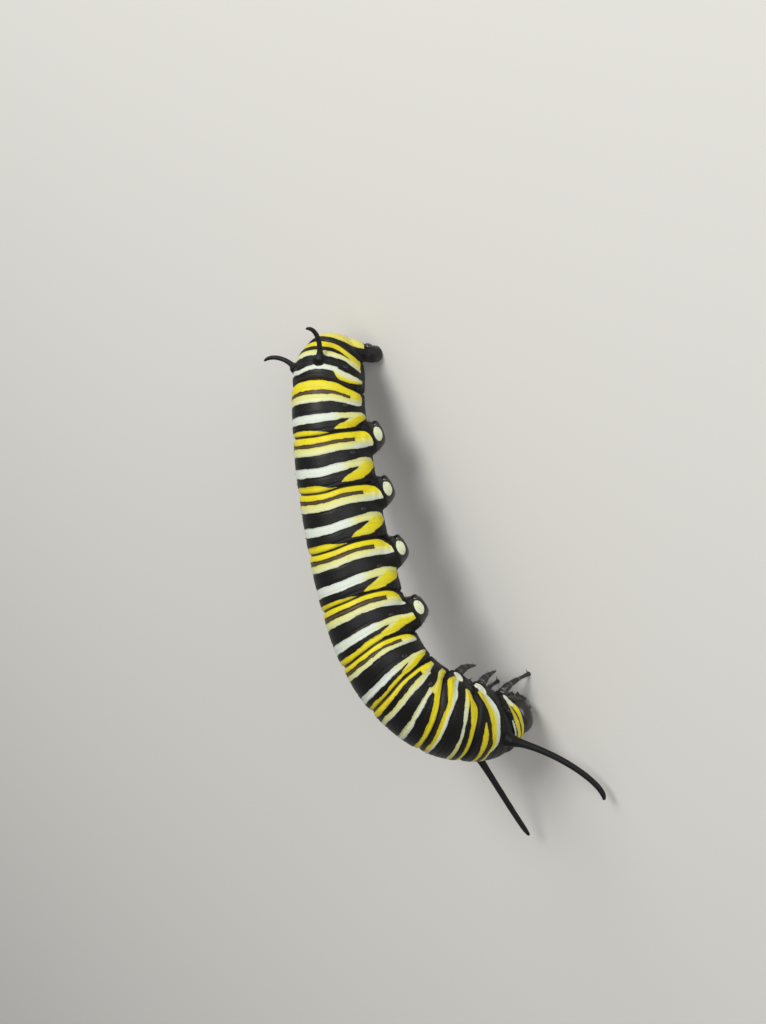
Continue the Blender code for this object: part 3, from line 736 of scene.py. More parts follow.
class Wire:
    # A shader value that sums can be written with
    def __init__(self, tree, socket):
        self.tree, self.socket = tree, socket

    def math(self, kind, *others):
        node = self.tree.nodes.new("ShaderNodeMath")
        node.operation = kind
        for slot, value in zip(node.inputs, (self,) + others):
            plug(self.tree, slot, value)
        return Wire(self.tree, node.outputs[0])

    def __add__(self, other):
        return self.math("ADD", other)

    def __sub__(self, other):
        return self.math("SUBTRACT", other)

    def __rsub__(self, other):
        return (self * -1).math("ADD", other)

    def sin(self):
        return self.math("SINE")

    def __mul__(self, other):
        return self.math("MULTIPLY", other)

    __radd__ = __add__
    __rmul__ = __mul__


def plug(tree, slot, value):
    if isinstance(value, Wire):
        tree.links.new(value.socket, slot)
    elif isinstance(value, (tuple, list)) and slot.type == "RGBA" and len(value) == 3:
        slot.default_value = (*value, 1)
    else:
        slot.default_value = value


class Paint:
    # One material and the nodes that feed its shader
    def __init__(self, name, **constants):
        self.material = bpy.data.materials.new(name)
        self.material.use_nodes = True
        self.tree = self.material.node_tree
        self.shader = self.tree.nodes["Principled BSDF"]
        self.set(**constants)

    def set(self, **values):
        names = {label.replace(" ", "").lower(): label for label in self.shader.inputs.keys()}
        for name, value in values.items():
            plug(self.tree, self.shader.inputs[names[name.lower()]], value)

    def node(self, kind, settings=None, values=None, out=0):
        node = self.tree.nodes.new("ShaderNode" + kind)
        for name, value in (settings or {}).items():
            setattr(node, name, value)
        for name, value in (values or {}).items():
            plug(self.tree, node.inputs[name], value)
        return Wire(self.tree, node.outputs[out])

    def field(self, name):
        return self.node("Attribute", dict(attribute_name=name), out="Fac")

    def place(self, stretch=1000.0):
        # The piece's own coordinates, in millimetres
        spot = self.node("TexCoord", out="Object")
        return self.node("VectorMath", dict(operation="SCALE"), {0: spot, "Scale": stretch})

    def noise(self, place, scale, detail=3.0, rough=0.5):
        values = {"Vector": place, "Scale": scale, "Detail": detail, "Roughness": rough}
        return self.node("TexNoise", {}, values)

    def cells(self, place, scale):
        return self.node("TexVoronoi", dict(feature="F1"), {"Vector": place, "Scale": scale}, out="Distance")

    def step(self, value, low, high, start=0.0, end=1.0):
        values = {"Value": value, "From Min": low, "From Max": high, "To Min": start, "To Max": end}
        return self.node("MapRange", dict(interpolation_type="SMOOTHSTEP"), values)

    def mix(self, share, a, b):
        node = self.tree.nodes.new("ShaderNodeMix")
        node.data_type, node.blend_type = "RGBA", "MIX"
        plug(self.tree, node.inputs["Factor"], share)
        plug(self.tree, node.inputs[6], a)
        plug(self.tree, node.inputs[7], b)
        return Wire(self.tree, node.outputs[2])

    def bump(self, height, distance, strength):
        return self.node("Bump", {}, {"Height": height, "Distance": distance, "Strength": strength})


def colour(red, green, blue):
    # A colour as seen on screen, 0 to 255, as the shader wants it
    return tuple((part / 255) ** 2.2 for part in (red, green, blue))


def skinPaint():
    look = dict(
        white=colour(194, 201, 190), pale=colour(199, 199, 128), yellow=colour(204, 190, 20),
        gold=colour(190, 166, 14), black=colour(9, 8, 7), brown=colour(76, 63, 42), grey=colour(27, 25, 22),
        slate=colour(24, 25, 27), cream=colour(204, 210, 174), ivory=colour(222, 225, 202),
        sole=colour(112, 104, 92),
    )
    paint = Paint("banded_skin", Metallic=0.0, SpecularIORLevel=0.25, CoatRoughness=0.2)
    place = paint.place()
    stretched = {"X": paint.field("along") * 2.4, "Y": paint.field("arc") * 0.5}
    lengthwise = paint.node("CombineXYZ", {}, stretched)
    streaks = paint.noise(lengthwise, 1.0, 4.0, 0.6)
    ragged = (paint.noise(place, 4.5, 4.0, 0.6) - 0.5) * 0.12
    wavy = (paint.noise(place, 1.1, 2.0) - 0.5) * 0.18
    ink = paint.field("ink") + ragged + wavy
    dark = paint.step(ink, -0.015, 0.025)
    uneven = (paint.noise(place, 1.6, 3.0) - 0.5) * 0.16 + (streaks - 0.5) * 0.2
    warmth = paint.field("warmth") + uneven
    light = paint.mix(paint.step(warmth, 0.0, 0.5), look["white"], look["pale"])
    light = paint.mix(paint.step(warmth, 0.5, 0.95), light, look["yellow"])
    light = paint.mix(paint.step(streaks, 0.45, 0.8, 0.0, 0.28), light, look["pale"])
    golden = paint.step(paint.noise(place, 0.8, 2.0), 0.42, 0.72) * paint.step(warmth, 0.7, 1.0)
    light = paint.mix(golden * 0.55, light, look["gold"])
    ticks = paint.step(paint.noise(lengthwise, 2.3, 2.0, 0.4), 0.71, 0.77)
    light = paint.mix(ticks * paint.step(warmth, 0.75, 0.95) * 0.55, light, look["brown"])
    rim = paint.step(ink, -0.14, -0.01)
    light = paint.mix(rim * 0.2, light, look["brown"])
    brown = paint.field("brown") * paint.step(ink, 0.0, 0.1)
    shade = paint.mix(brown, look["black"], look["brown"])
    specks = paint.cells(place, 2.2)
    speckle = paint.step(specks, 0.085, 0.03) * paint.step(ink, 0.05, 0.2)
    shade = paint.mix(speckle * 0.22, shade, look["white"])
    clouds = paint.step(paint.noise(place, 1.7, 3.0), 0.45, 0.8, 0.0, 0.3)
    shade = paint.mix(clouds, shade, look["grey"])
    shade = paint.mix(paint.field("tentacle") * 0.6, shade, look["slate"])
    body = paint.mix(dark, light, shade)
    body = paint.mix(paint.step(paint.field("foldGap"), 0.12, 0.06) * 0.88, body, look["black"])
    gloss = paint.step(paint.field("shield"), 0.3, 0.7)
    body = paint.mix(gloss * 0.8, body, look["black"])
    body = paint.mix(paint.step(paint.field("sole"), 0.2, 0.9) * 0.7, body, look["sole"])
    spot = paint.field("spot") + (paint.noise(place, 5.0, 3.0) - 0.5) * 0.08
    spotLight = paint.mix(paint.step(paint.field("along"), 31.0, 33.0), look["cream"], look["ivory"])
    body = paint.mix(paint.step(spot, -0.02, 0.03), body, spotLight)
    paint.set(BaseColor=body)
    fine = paint.noise(place, 12.0, 4.0, 0.6)
    pits = paint.cells(place, 8.0)
    rings = (paint.field("tentacleLong") * 42.0).sin() * paint.field("tentacle")
    wrinkle = (fine * 0.5 + pits * 0.3 + specks * 0.2 + streaks * 0.6) * (1.0 - gloss * 0.85) + rings * 0.12
    paint.set(Normal=paint.bump(wrinkle, 0.00006, 0.55))
    roughness = paint.step(fine, 0.2, 0.8, 0.42, 0.56) + paint.field("tentacle") * 0.06 - gloss * 0.22
    paint.set(Roughness=roughness, CoatWeight=gloss * 0.5 + 0.03)
    return paint.material


skin = bpy.data.objects.new("larva_skin", skinMesh)
bpy.context.scene.collection.objects.link(skin)
skinMesh.materials.clear()
skinMesh.materials.append(skinPaint())
skinMesh.shade_smooth()
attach(skin, "root")
fleshNodes = segmentNames + [f"{row[0]}_{side}" for row in prolegRows for side in "lr"]
fleshNodes += ["anal_proleg_l", "anal_proleg_r"] + [row[0] for row in tentacleRows]
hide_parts(*fleshNodes)
say("skin painted")

skinNormals = np.empty(skinCount * 3, np.float32)
skinMesh.vertices.foreach_get("normal", skinNormals)
skinNormals = skinNormals.reshape(-1, 3).astype(float)
random = np.random.default_rng(7)


def onSkin(target):
    # Number of the skin's point nearest to a place
    return int(((points - target) ** 2).sum(1).argmin())


def spikes(roots, aims, lengths, thick, bend, sides=4, stages=(0, 0.35, 0.7, 1), taper=0.93):
    # Many tapered spikes as one mesh: each leaves its root along its aim and leans by its bend
    lengths, thick = np.broadcast_to(lengths, len(roots)), np.broadcast_to(thick, len(roots))
    across = unit(np.cross(aims, slantwise))
    other = np.cross(aims, across)
    turns = np.arange(sides) * math.tau / sides
    circle = np.cos(turns)[:, None] * across[:, None] + np.sin(turns)[:, None] * other[:, None]
    rings = []
    for share in stages:
        middle = roots + aims * (lengths * share)[:, None] + bend * (lengths * share**2)[:, None]
        rings.append(middle[:, None] + circle * (thick * (1 - taper * share))[:, None, None])
    allPoints = np.stack(rings, 1).reshape(-1, 3)
    base = (np.arange(len(roots)) * len(stages) * sides)[:, None, None]
    low = base + (np.arange(len(stages) - 1) * sides)[None, :, None]
    k = np.arange(sides)[None, None]
    after = (k + 1) % sides
    quads = np.stack([low + k, low + after, low + sides + after, low + sides + k], -1).reshape(-1, 4)
    starts = base[:, 0] + k[0]
    roofs = starts + (len(stages) - 1) * sides
    return allPoints, quads.tolist() + starts[:, ::-1].tolist() + roofs.tolist()


def shellPaint(name, base, tone, roughness, fleck, fine=9.0, bump=0.5):
    # Hard glossy cuticle with fine grain and flecks of a second tone
    paint = Paint(name, Metallic=0.0, CoatRoughness=0.12, SpecularIORLevel=0.5)
    place = paint.place()
    cloud = paint.noise(place, 1.8, 4.0, 0.6)
    grain = paint.noise(place, fine * 1.6, 3.0, 0.6)
    pits = paint.cells(place, fine)
    body = paint.mix(paint.step(cloud, 0.35, 0.8, 0.0, 0.8), base, tone)
    body = paint.mix(paint.step(pits, 0.2, 0.05) * 0.25, body, fleck)
    joint = paint.field("joint")
    body = paint.mix(joint * 0.45, body, fleck)
    matt = paint.step(grain, 0.2, 0.8, roughness, roughness + 0.14)
    paint.set(BaseColor=body, Roughness=matt + joint * 0.25)
    paint.set(Normal=paint.bump(grain * 0.5 + pits * 0.5, 0.00003, bump), CoatWeight=0.4 - joint * 0.4)
    return paint.material


legShell = shellPaint("leg_shell", colour(16, 15, 17), colour(34, 31, 33), 0.2, colour(112, 106, 98))
clawShell = shellPaint("claw_shell", colour(62, 34, 16), colour(100, 58, 26), 0.25, colour(40, 22, 12), 20.0)
hairPaint = shellPaint("hair", colour(24, 21, 22), colour(52, 46, 44), 0.4, colour(80, 72, 66), 25.0, 0.2)

# True legs: four ringed joints and a hooked claw on each. The first pair ends in a pad on the floor
legLook = dict(
    samples=56, sides=26, kneeShare=0.9, tipShare=0.35, flatRings=3,
    radii=(0.54, 0.49, 0.42, 0.36, 0.29, 0.22, 0.15, 0.07),
    joints=(0.36, 0.58, 0.79), pinch=0.1, pinchWidth=0.014, flare=0.06, flareWidth=0.05, flareBefore=0.05,
)
clawLook = dict(
    length=0.36, thick=0.075, sides=8, rings=8, sink=0.1, padPlace=(0, 0.08, 0.09), lowest=0.005,
    inward=(-0.5, 0.6, 0.0), lean=0.25, bend=0.35, padInward=(-0.3, 1.0, -0.08), padBend=(0.0, 0.1, -0.1),
)
legHairs = dict(
    count=26, shares=(0.36, 0.95), lengths=(0.16, 0.36), lowLength=0.12, low=0.5, sink=0.94, lean=0.8,
    bend=0.3,
)
hairRoots, hairAims, hairLengths, hairBends = [], [], [], []
claws = []


def legPath(segment, share, reach, side):
    s = placeOn(segment, share)
    theta = math.radians(legForm["spread"]) * side
    root = skinPoint(s, theta, -legForm["sink"])
    if reach:
        knee = skinPoint(s, theta, legForm["knee"])
        tip = skinPoint(s, theta) + np.array(reach) * (side, 1, 1)
    else:
        knee = skinPoint(s, theta, legForm["frontKnee"])
        tip = bodyFrame(s)[0] + np.array((legForm["frontFootSpread"] * side, 0, 0))
        tip[1:] = skinPoint(s, theta)[1] + legForm["frontFootBack"], 0
    shares = np.linspace(0, 1, legLook["samples"])
    upper, lower = root + (knee - root) * legLook["kneeShare"], knee + (tip - knee) * legLook["tipShare"]
    return bezier(root, upper, lower, tip, shares), shares


def addClaw(path, side, standing):
    aim = unit(path[-1] - path[-4])
    if standing:
        inward = np.array(clawLook["padInward"]) * (side, 1, 1)
        claws.append((path[-1] + clawLook["padPlace"], unit(inward), np.array(clawLook["padBend"])))
    else:
        inward = np.array(clawLook["inward"]) * (side, 1, 1)
        root = path[-1] - aim * clawLook["sink"]
        claws.append((root, unit(aim + inward * clawLook["lean"]), inward * clawLook["bend"]))


def addLegHairs(path, thick):
    for k in range(legHairs["count"]):
        spot = int(random.uniform(*legHairs["shares"]) * (len(path) - 1))
        turn = random.uniform(0, math.tau)
        along = unit(path[spot] - path[spot - 1])
        across = unit(np.cross(along, slantwise))
        outward = across * math.cos(turn) + np.cross(along, across) * math.sin(turn)
        high = path[spot][2] > legHairs["low"]
        hairRoots.append(path[spot] + outward * thick[spot] * legHairs["sink"])
        hairAims.append(unit(outward + along * legHairs["lean"]))
        hairLengths.append(random.uniform(*legHairs["lengths"]) if high else legHairs["lowLength"])
        hairBends.append(along * legHairs["bend"])


def makeLeg(prefix, segment, share, reach, side):
    path, shares = legPath(segment, share, reach, side)
    radiusRow = legLook["radii"] if reach else legLook["radii"][:-1] + (legForm["frontPad"],)
    thick = smoothCurve(shares * (len(radiusRow) - 1), np.arange(len(radiusRow)), radiusRow)
    joint = np.zeros(len(shares))
    for place in legLook["joints"]:
        groove = bell(shares - place, legLook["pinchWidth"])
        thick *= 1 - legLook["pinch"] * groove
        thick *= 1 + legLook["flare"] * bell(shares - place + legLook["flareBefore"], legLook["flareWidth"])
        joint = np.maximum(joint, groove)
    legPoints, faces = tube(path, thick, legLook["sides"], 0 if reach else legLook["flatRings"])
    legPoints[:, 2] = np.maximum(legPoints[:, 2], 0)
    name = f"{prefix}_{'l' if side > 0 else 'r'}"
    leg = newPiece(f"look_{name}", legPoints, faces, legShell, "head_shell")
    addField(leg.data, "joint", np.append(np.repeat(joint, legLook["sides"]), (0, 0)))
    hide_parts(name)
    addClaw(path, side, not reach)
    addLegHairs(path, thick)


for row in legRows:
    for side in (1, -1):
        makeLeg(*row, side)
clawRoots, clawAims, clawBends = (np.array(column) for column in zip(*claws))
clawPoints, clawFaces = spikes(clawRoots, clawAims, clawLook["length"], clawLook["thick"], clawBends,
                               clawLook["sides"], np.linspace(0, 1, clawLook["rings"]))
clawPoints[:, 2] = np.maximum(clawPoints[:, 2], clawLook["lowest"])
newPiece("leg_claws", clawPoints, clawFaces, clawShell, "dark_limb")
say("true legs made")


def stumps():
    # Every stump that can carry hooks and plates, with whether it is a middle one
    for limb in limbs:
        if limb["kind"] != "tentacle":
            yield limb["points"], limb["thick"], limb["side"], limb["kind"] == "proleg"


# Gripping hooks round each stump's inner edge, of three lengths in turn. The hindmost stand on the
# floor, so that theirs lie flat there
hooks = dict(
    count=26, spread=150, ring=0.8, lengths=(0.2, 0.15, 0.1), thick=0.022, down=0.9, out=0.5, lift=-0.02,
    analSpread=120, analDown=0.1, analLift=(0, 0, 0.1), bendOut=0.7, bendUp=0.1, sides=5, rings=6,
    lowest=0.004,
)
hookRoots, hookAims, hookLengths, hookBends = [], [], [], []
for path, thick, side, isMiddle in stumps():
    axis = unit(path[-1] - path[-2]) if isMiddle else np.array((0, 0, -1.0))
    lift = axis * hooks["lift"] if isMiddle else np.array(hooks["analLift"])
    down = hooks["down" if isMiddle else "analDown"]
    spread = math.radians(hooks["spread" if isMiddle else "analSpread"])
    place, forward, up, left = (row[0] for row in bodyFrame(bodyPlace(path[-1:])[0]))
    inner = unit(-left * side - axis * (-left * side @ axis))
    other = np.cross(axis, inner)
    for k in range(hooks["count"]):
        turn = (k / (hooks["count"] - 1) - 0.5) * spread
        outward = inner * math.cos(turn) + other * math.sin(turn)
        hookRoots.append(path[-1] + outward * thick[-1] * hooks["ring"] + lift)
        hookAims.append(unit(axis * down + outward * hooks["out"]))
        hookBends.append(outward * hooks["bendOut"] - axis * hooks["bendUp"])
        hookLengths.append(hooks["lengths"][k % len(hooks["lengths"])])
hookPoints, hookFaces = spikes(np.array(hookRoots), np.array(hookAims), np.array(hookLengths), hooks["thick"],
                               np.array(hookBends), hooks["sides"], np.linspace(0, 1, hooks["rings"]))
hookPoints[:, 2] = np.maximum(hookPoints[:, 2], hooks["lowest"])
newPiece("stump_hooks", hookPoints, hookFaces, clawShell, "dark_limb")
say("hooks made")


def dome(centre, normal, wide, radii, profile, sides=20):
    # Low dome or dish on the skin: rings of an oval at shares of its radii, each at its own height
    turns = np.arange(sides) * math.tau / sides
    across = np.cross(normal, wide) * radii[1]
    circle = np.cos(turns)[:, None] * wide * radii[0] + np.sin(turns)[:, None] * across
    return loft(np.array([centre + normal * lift + circle * size for size, lift in profile]))


# Glossy hard plates on the stumps, next to the cream spots and towards the tail
plates = dict(
    share=0.8, analShare=0.62, out=0.6, rise=0.6, tail=0.9, sides=32,
    radii=(0.31, 0.4), analRadii=(0.36, 0.42),
    profile=((1.0, -0.14), (0.98, 0.0), (0.88, 0.08), (0.68, 0.135), (0.38, 0.165), (0.1, 0.175)),
)
plateParts = []
for path, thick, side, isMiddle in stumps():
    k = int(plates["share" if isMiddle else "analShare"] * (len(path) - 1))
    axis = unit(path[k + 1] - path[k - 1])
    place, forward, up, left = (row[0] for row in bodyFrame(bodyPlace(path[k:k + 1])[0]))
    face = left * side * plates["out"] + up * plates["rise"] - forward * plates["tail"]
    face = unit(face - axis * (face @ axis))
    plateRadii = plates["radii" if isMiddle else "analRadii"]
    centre = path[k] + face * thick[k]
    plateParts.append(dome(centre, face, axis, plateRadii, plates["profile"], plates["sides"]))
newPiece("stump_plates", *joined(plateParts), legShell, "dark_limb")
say("stump plates made")


def ovalRim(centre, normal, long, wide, radii, thick, around, sides):
    # Closed ring of round section along an oval, as points and faces
    rings = []
    for turn in np.arange(around) * math.tau / around:
        place = centre + long * radii[0] * math.cos(turn) + wide * radii[1] * math.sin(turn)
        out = unit(long * math.cos(turn) / radii[0] + wide * math.sin(turn) / radii[1])
        swing = np.arange(sides) * math.tau / sides
        rings.append(place + thick * (np.cos(swing)[:, None] * out + np.sin(swing)[:, None] * normal))
    i, j = np.meshgrid(np.arange(around), np.arange(sides), indexing="ij")
    nextI, nextJ = (i + 1) % around, (j + 1) % sides
    corners = (i * sides + j, i * sides + nextJ, nextI * sides + nextJ, nextI * sides + j)
    return np.concatenate(rings), np.stack(corners, -1).reshape(-1, 4).tolist()


# Breathing holes: an oval rim round a sunk dish on each side of nine segments. Each has its place
# along the body and its angle, less than nothing on the right
holes = dict(
    places=(
        (3.629, 78.08), (3.859, -81.06), (6.74, 78.26), (7.275, -82.38), (10.585, 79.78), (11.29, -83.51),
        (15.294, 82.49), (15.899, -85.2), (20.319, 87.67), (20.484, -88.0), (24.661, 85.86), (24.257, -84.54),
        (28.148, 79.58), (27.469, -79.63), (31.057, 82.8), (30.418, -86.58), (39.191, 100.89),
        (39.16, -102.6),
    ),
    long=0.2, wide=0.12, rim=0.04, lift=0.012, around=20, section=8,
    dish=((1.0, -0.03), (0.8, 0.012), (0.12, 0.0)),
)
holeParts = []
for holeS, angle in holes["places"]:
    nearestPoint = onSkin(skinPoint(holeS, math.radians(angle)))
    centre, normal = points[nearestPoint], skinNormals[nearestPoint]
    forward = bodyFrame(holeS)[1]
    wide = unit(forward - normal * (forward @ normal))
    rimCentre, rimRadii = centre + normal * holes["lift"], (holes["long"], holes["wide"])
    holeParts.append(ovalRim(rimCentre, normal, np.cross(normal, wide), wide, rimRadii, holes["rim"],
                             holes["around"], holes["section"]))
    holeParts.append(dome(centre, normal, wide, (holes["wide"], holes["long"]), holes["dish"]))
newPiece("breathing_holes", *joined(holeParts), legShell, "dark_limb")
say("breathing holes made")

# Head: a hard capsule of two lobes, with sutures, stripes, eyelets and mouthparts
head = dict(
    width=3.5, height=3.5, depth=2.5, back=0.96, power=2.3, neckDepth=0.75, groove=0.14, grooveReach=0.3,
    rings=130, sides=220, edge=116, backTurn=0.35, scale=1.9,
    apex=0.4, corner=(0.3, -0.36), clypeus=(-0.5, -0.385, 0.27), band=0.055,
    archWide=0.66, archTall=0.8, archLow=0.02, archBand=0.13, archEnd=-0.2,
)
facePlan = dict(
    seamHalf=0.03, seamDeep=0.05, seamEnd=0.08, soft=0.02, apexSoft=(-0.02, 0.03), middleHalf=0.035,
    middleFrom=(-0.03, 0.02), frontRise=0.05, frontSoft=0.3, clypeusRise=0.04, clypeusSoft=(-0.02, 0.08),
    cheekRise=0.06, cheekPlace=0.48, cheekWide=0.22, cheekFrom=(-0.3, 0.2),
    archSlope=0.72, archFadeFrom=0.3, archFade=0.32, archInner=0.04,
    veeGap=0.075, veeLow=-0.4, veeInner=0.012,
)
eyelets = dict(
    radius=0.105, count=6, tilt=66, turn=112, arc=15, first=-150, step=42, bow=(8, 150), rings=12, sides=20,
    swell=0.05, swellWide=0.16, moat=0.035, moatRadius=0.13, moatWide=0.025,
)
headStart, headForward, headUp, headLeft = bodyFrame(folds[-1])
headCentre = headStart + headForward * head["neckDepth"]


def headPoint(tilt, turn, lift=0.0):
    # Points on the head at angles in degrees from straight ahead, and around from the crown
    tilt, turn = np.broadcast_arrays(np.radians(tilt), np.radians(turn))
    ahead, around = np.cos(tilt), np.sin(tilt)
    depth = np.where(ahead > 0, head["depth"] / 2, head["back"])
    across = np.hypot(np.cos(turn) * head["width"] / 2, np.sin(turn) * head["height"] / 2)
    power = head["power"]
    reach = ((np.abs(ahead) / depth) ** power + (around / across) ** power) ** (-1 / power)
    wrapped = np.arctan2(np.sin(turn), np.cos(turn))
    reach = reach + lift - head["groove"] * bell(wrapped, head["grooveReach"]) * around
    sideways = headUp * np.cos(turn)[..., None] + headLeft * np.sin(turn)[..., None]
    return headCentre + (headForward * ahead[..., None] + sideways * around[..., None]) * reach[..., None]


def eyeletPlaces(side):
    # Tilts and turns of one side's eyelets, on an arc
    around = np.radians(eyelets["first"] + eyelets["step"] * np.arange(eyelets["count"]))
    turns = (eyelets["turn"] + eyelets["arc"] * np.sin(around)) * side
    return eyelets["tilt"] + eyelets["arc"] * np.cos(around), turns


def faceFields(tilt, turn):
    # Relief in millimetres and signed distances of the stripes, from a flat plan of the face
    x, y = tilt / 90 * np.abs(np.sin(np.radians(turn))), tilt / 90 * np.cos(np.radians(turn))
    plan, scale, apex, (cornerX, cornerY) = facePlan, head["scale"], head["apex"], head["corner"]
    rise = apex - cornerY
    outside = (x * rise + (y - apex) * cornerX) / math.hypot(rise, cornerX) * scale
    within = smoothStep(y, cornerY - plan["soft"], cornerY + plan["soft"])
    within *= 1 - smoothStep(y, apex + plan["apexSoft"][0], apex + plan["apexSoft"][1])
    seam = bell(outside, plan["seamHalf"]) * within
    above = smoothStep(y, apex + plan["middleFrom"][0], apex + plan["middleFrom"][1])
    seam = np.maximum(seam, bell(x * scale, plan["middleHalf"]) * above)
    low, high, half = head["clypeus"]
    clypeus = np.minimum(np.minimum(half - x, y - low), high - y) * scale
    for level in (low, cornerY):
        edge = bell((y - level) * scale, plan["seamHalf"]) * (1 - smoothStep(x, half, half + plan["seamEnd"]))
        seam = np.maximum(seam, edge)
    lift = plan["frontRise"] * smoothStep(-outside, 0.0, plan["frontSoft"]) * within - plan["seamDeep"] * seam
    lift += plan["clypeusRise"] * smoothStep(clypeus, *plan["clypeusSoft"])
    cheek = bell(x - plan["cheekPlace"], plan["cheekWide"]) * smoothStep(y, *plan["cheekFrom"])
    lift += plan["cheekRise"] * cheek
    arch = np.abs(np.hypot(x / head["archWide"], (y + head["archLow"]) / head["archTall"]) - 1)
    arch = head["archBand"] - arch * plan["archSlope"] * scale
    arch -= head["archBand"] * smoothStep(head["archEnd"] + plan["archFadeFrom"] - y, 0.0, plan["archFade"])
    arch = np.minimum(arch, (x - plan["archInner"]) * scale)
    vee = head["band"] - np.abs(outside / scale - plan["veeGap"])
    vee = np.minimum(np.minimum(vee, y - plan["veeLow"]), x - plan["veeInner"]) * scale
    return lift, seam, np.maximum(arch, vee), clypeus


tiltRow = np.concatenate([np.linspace(1, head["edge"], head["rings"]), (head["edge"] + 1,)])
turnRow = np.arange(head["sides"]) * 360 / head["sides"]
tiltGrid, turnGrid = np.meshgrid(tiltRow, turnRow, indexing="ij")
lift, seam, stripe, clypeus = faceFields(tiltGrid, turnGrid)
plain = headPoint(tiltGrid, turnGrid)
for side in (1, -1):
    for tilt, turn in zip(*eyeletPlaces(side)):
        gap = np.linalg.norm(plain - headPoint(tilt, turn), axis=-1)
        lift = lift + eyelets["swell"] * bell(gap, eyelets["swellWide"])
        lift -= eyelets["moat"] * bell(gap - eyelets["moatRadius"], eyelets["moatWide"])
lift[-1] -= head["backTurn"]   # turns the back edge in
capsulePoints, capsuleFaces = loft(headPoint(tiltGrid, turnGrid, lift))


def headPaint():
    look = dict(
        black=colour(15, 13, 15), grey=colour(36, 33, 36), yellow=colour(222, 202, 66),
        pale=colour(214, 216, 176), seam=colour(8, 7, 8),
    )
    paint = Paint("head_shell_paint", Metallic=0.0, CoatWeight=0.5, CoatRoughness=0.1)
    place = paint.place()
    cloud = paint.noise(place, 1.6, 4.0, 0.6)
    grain = paint.noise(place, 16.0, 3.0, 0.6)
    pits = paint.cells(place, 7.5)
    ragged = (paint.noise(place, 6.0, 4.0, 0.6) - 0.5) * 0.09
    body = paint.mix(paint.step(cloud, 0.35, 0.8, 0.0, 0.8), look["black"], look["grey"])
    stripe = paint.field("stripe") + ragged
    warm = paint.mix(paint.step(cloud, 0.3, 0.7, 0.0, 0.4), look["yellow"], look["pale"])
    warm = paint.mix(paint.step(stripe, 0.06, 0.0), warm, look["pale"])
    body = paint.mix(paint.step(stripe, -0.01, 0.02), body, warm)
    body = paint.mix(paint.step(paint.field("clypeus") + ragged, -0.01, 0.02), body, look["pale"])
    body = paint.mix(paint.field("joint") * 0.8, body, look["seam"])
    paint.set(BaseColor=body, Roughness=paint.step(grain, 0.2, 0.8, 0.2, 0.34))
    paint.set(Normal=paint.bump(grain * 0.35 + pits * 0.65, 0.00004, 0.5))
    return paint.material


capsule = newPiece("head_capsule", capsulePoints, capsuleFaces, headPaint(), "head_shell")
for name, values in (("joint", seam), ("stripe", stripe), ("clypeus", clypeus)):
    addField(capsule.data, name, np.append(values.ravel(), (values.flat[0], values.flat[-1])))
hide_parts("head")

eyePaint = shellPaint("eye", colour(10, 7, 6), colour(34, 20, 12), 0.06, colour(30, 20, 14), 4.0, 0.05)
eyeParts = []
bow = np.radians(np.linspace(*eyelets["bow"], eyelets["rings"]))
swing = np.arange(eyelets["sides"]) * math.tau / eyelets["sides"]
for side in (1, -1):
    for tilt, turn in zip(*eyeletPlaces(side)):
        centre = headPoint(tilt, turn)
        axis = unit(centre - headCentre)
        across = unit(np.cross(axis, slantwise))
        circle = np.cos(swing)[:, None] * across + np.sin(swing)[:, None] * np.cross(axis, across)
        rings = [centre + (axis * math.cos(b) + circle * math.sin(b)) * eyelets["radius"] for b in bow[::-1]]
        eyeParts.append(loft(np.array(rings)))
newPiece("eyes", *joined(eyeParts), eyePaint, "head_shell")

# Mouthparts and feelers: stations of tilt, turn and lift, radii along them, and how flat they are
mouthRows = (
    ("lip", ((27, 172, -0.12), (33, 171, 0.04), (39, 169, 0.15)), (0.24, 0.26, 0.23, 0.11), 0.45),
    ("jaw", ((48, 151, -0.3), (47, 155, 0.05), (45, 163, 0.24), (44, 171, 0.3)),
     (0.42, 0.4, 0.31, 0.15), 0.6),
    ("cheek", ((65, 158, -0.2), (63, 160, 0.1), (61, 163, 0.26)), (0.22, 0.2, 0.14), 1),
    ("palp", ((61, 163, 0.2), (60, 164, 0.32), (59, 165, 0.42)), (0.09, 0.085, 0.035), 1),
    ("under_lip", ((74, 177, -0.25), (71, 177, 0.1), (68, 178, 0.22)), (0.3, 0.27, 0.17), 0.8),
    ("spinneret", ((68, 180, 0.14), (66, 180, 0.3), (64, 180, 0.42)), (0.1, 0.07, 0.03), 1),
    ("feeler_base", ((44, 138, -0.15), (44, 138, 0.1)), (0.19, 0.18, 0.16), 1),
    ("feeler_middle", ((44, 138, 0.04), (43.5, 139, 0.28)), (0.13, 0.125, 0.11), 1),
    ("feeler_tip", ((43.5, 139, 0.24), (43, 140, 0.4)), (0.07, 0.065, 0.04), 1),
)
mouthForm = dict(rings=20, sides=18, end=(0.97, 0.85, 0.55))
teeth = dict(places=(-1, -0.35, 0.35, 1), apart=0.1, length=0.13, thick=0.05, sides=8)
mouthParts, toothRoots, toothAims = [], [], []
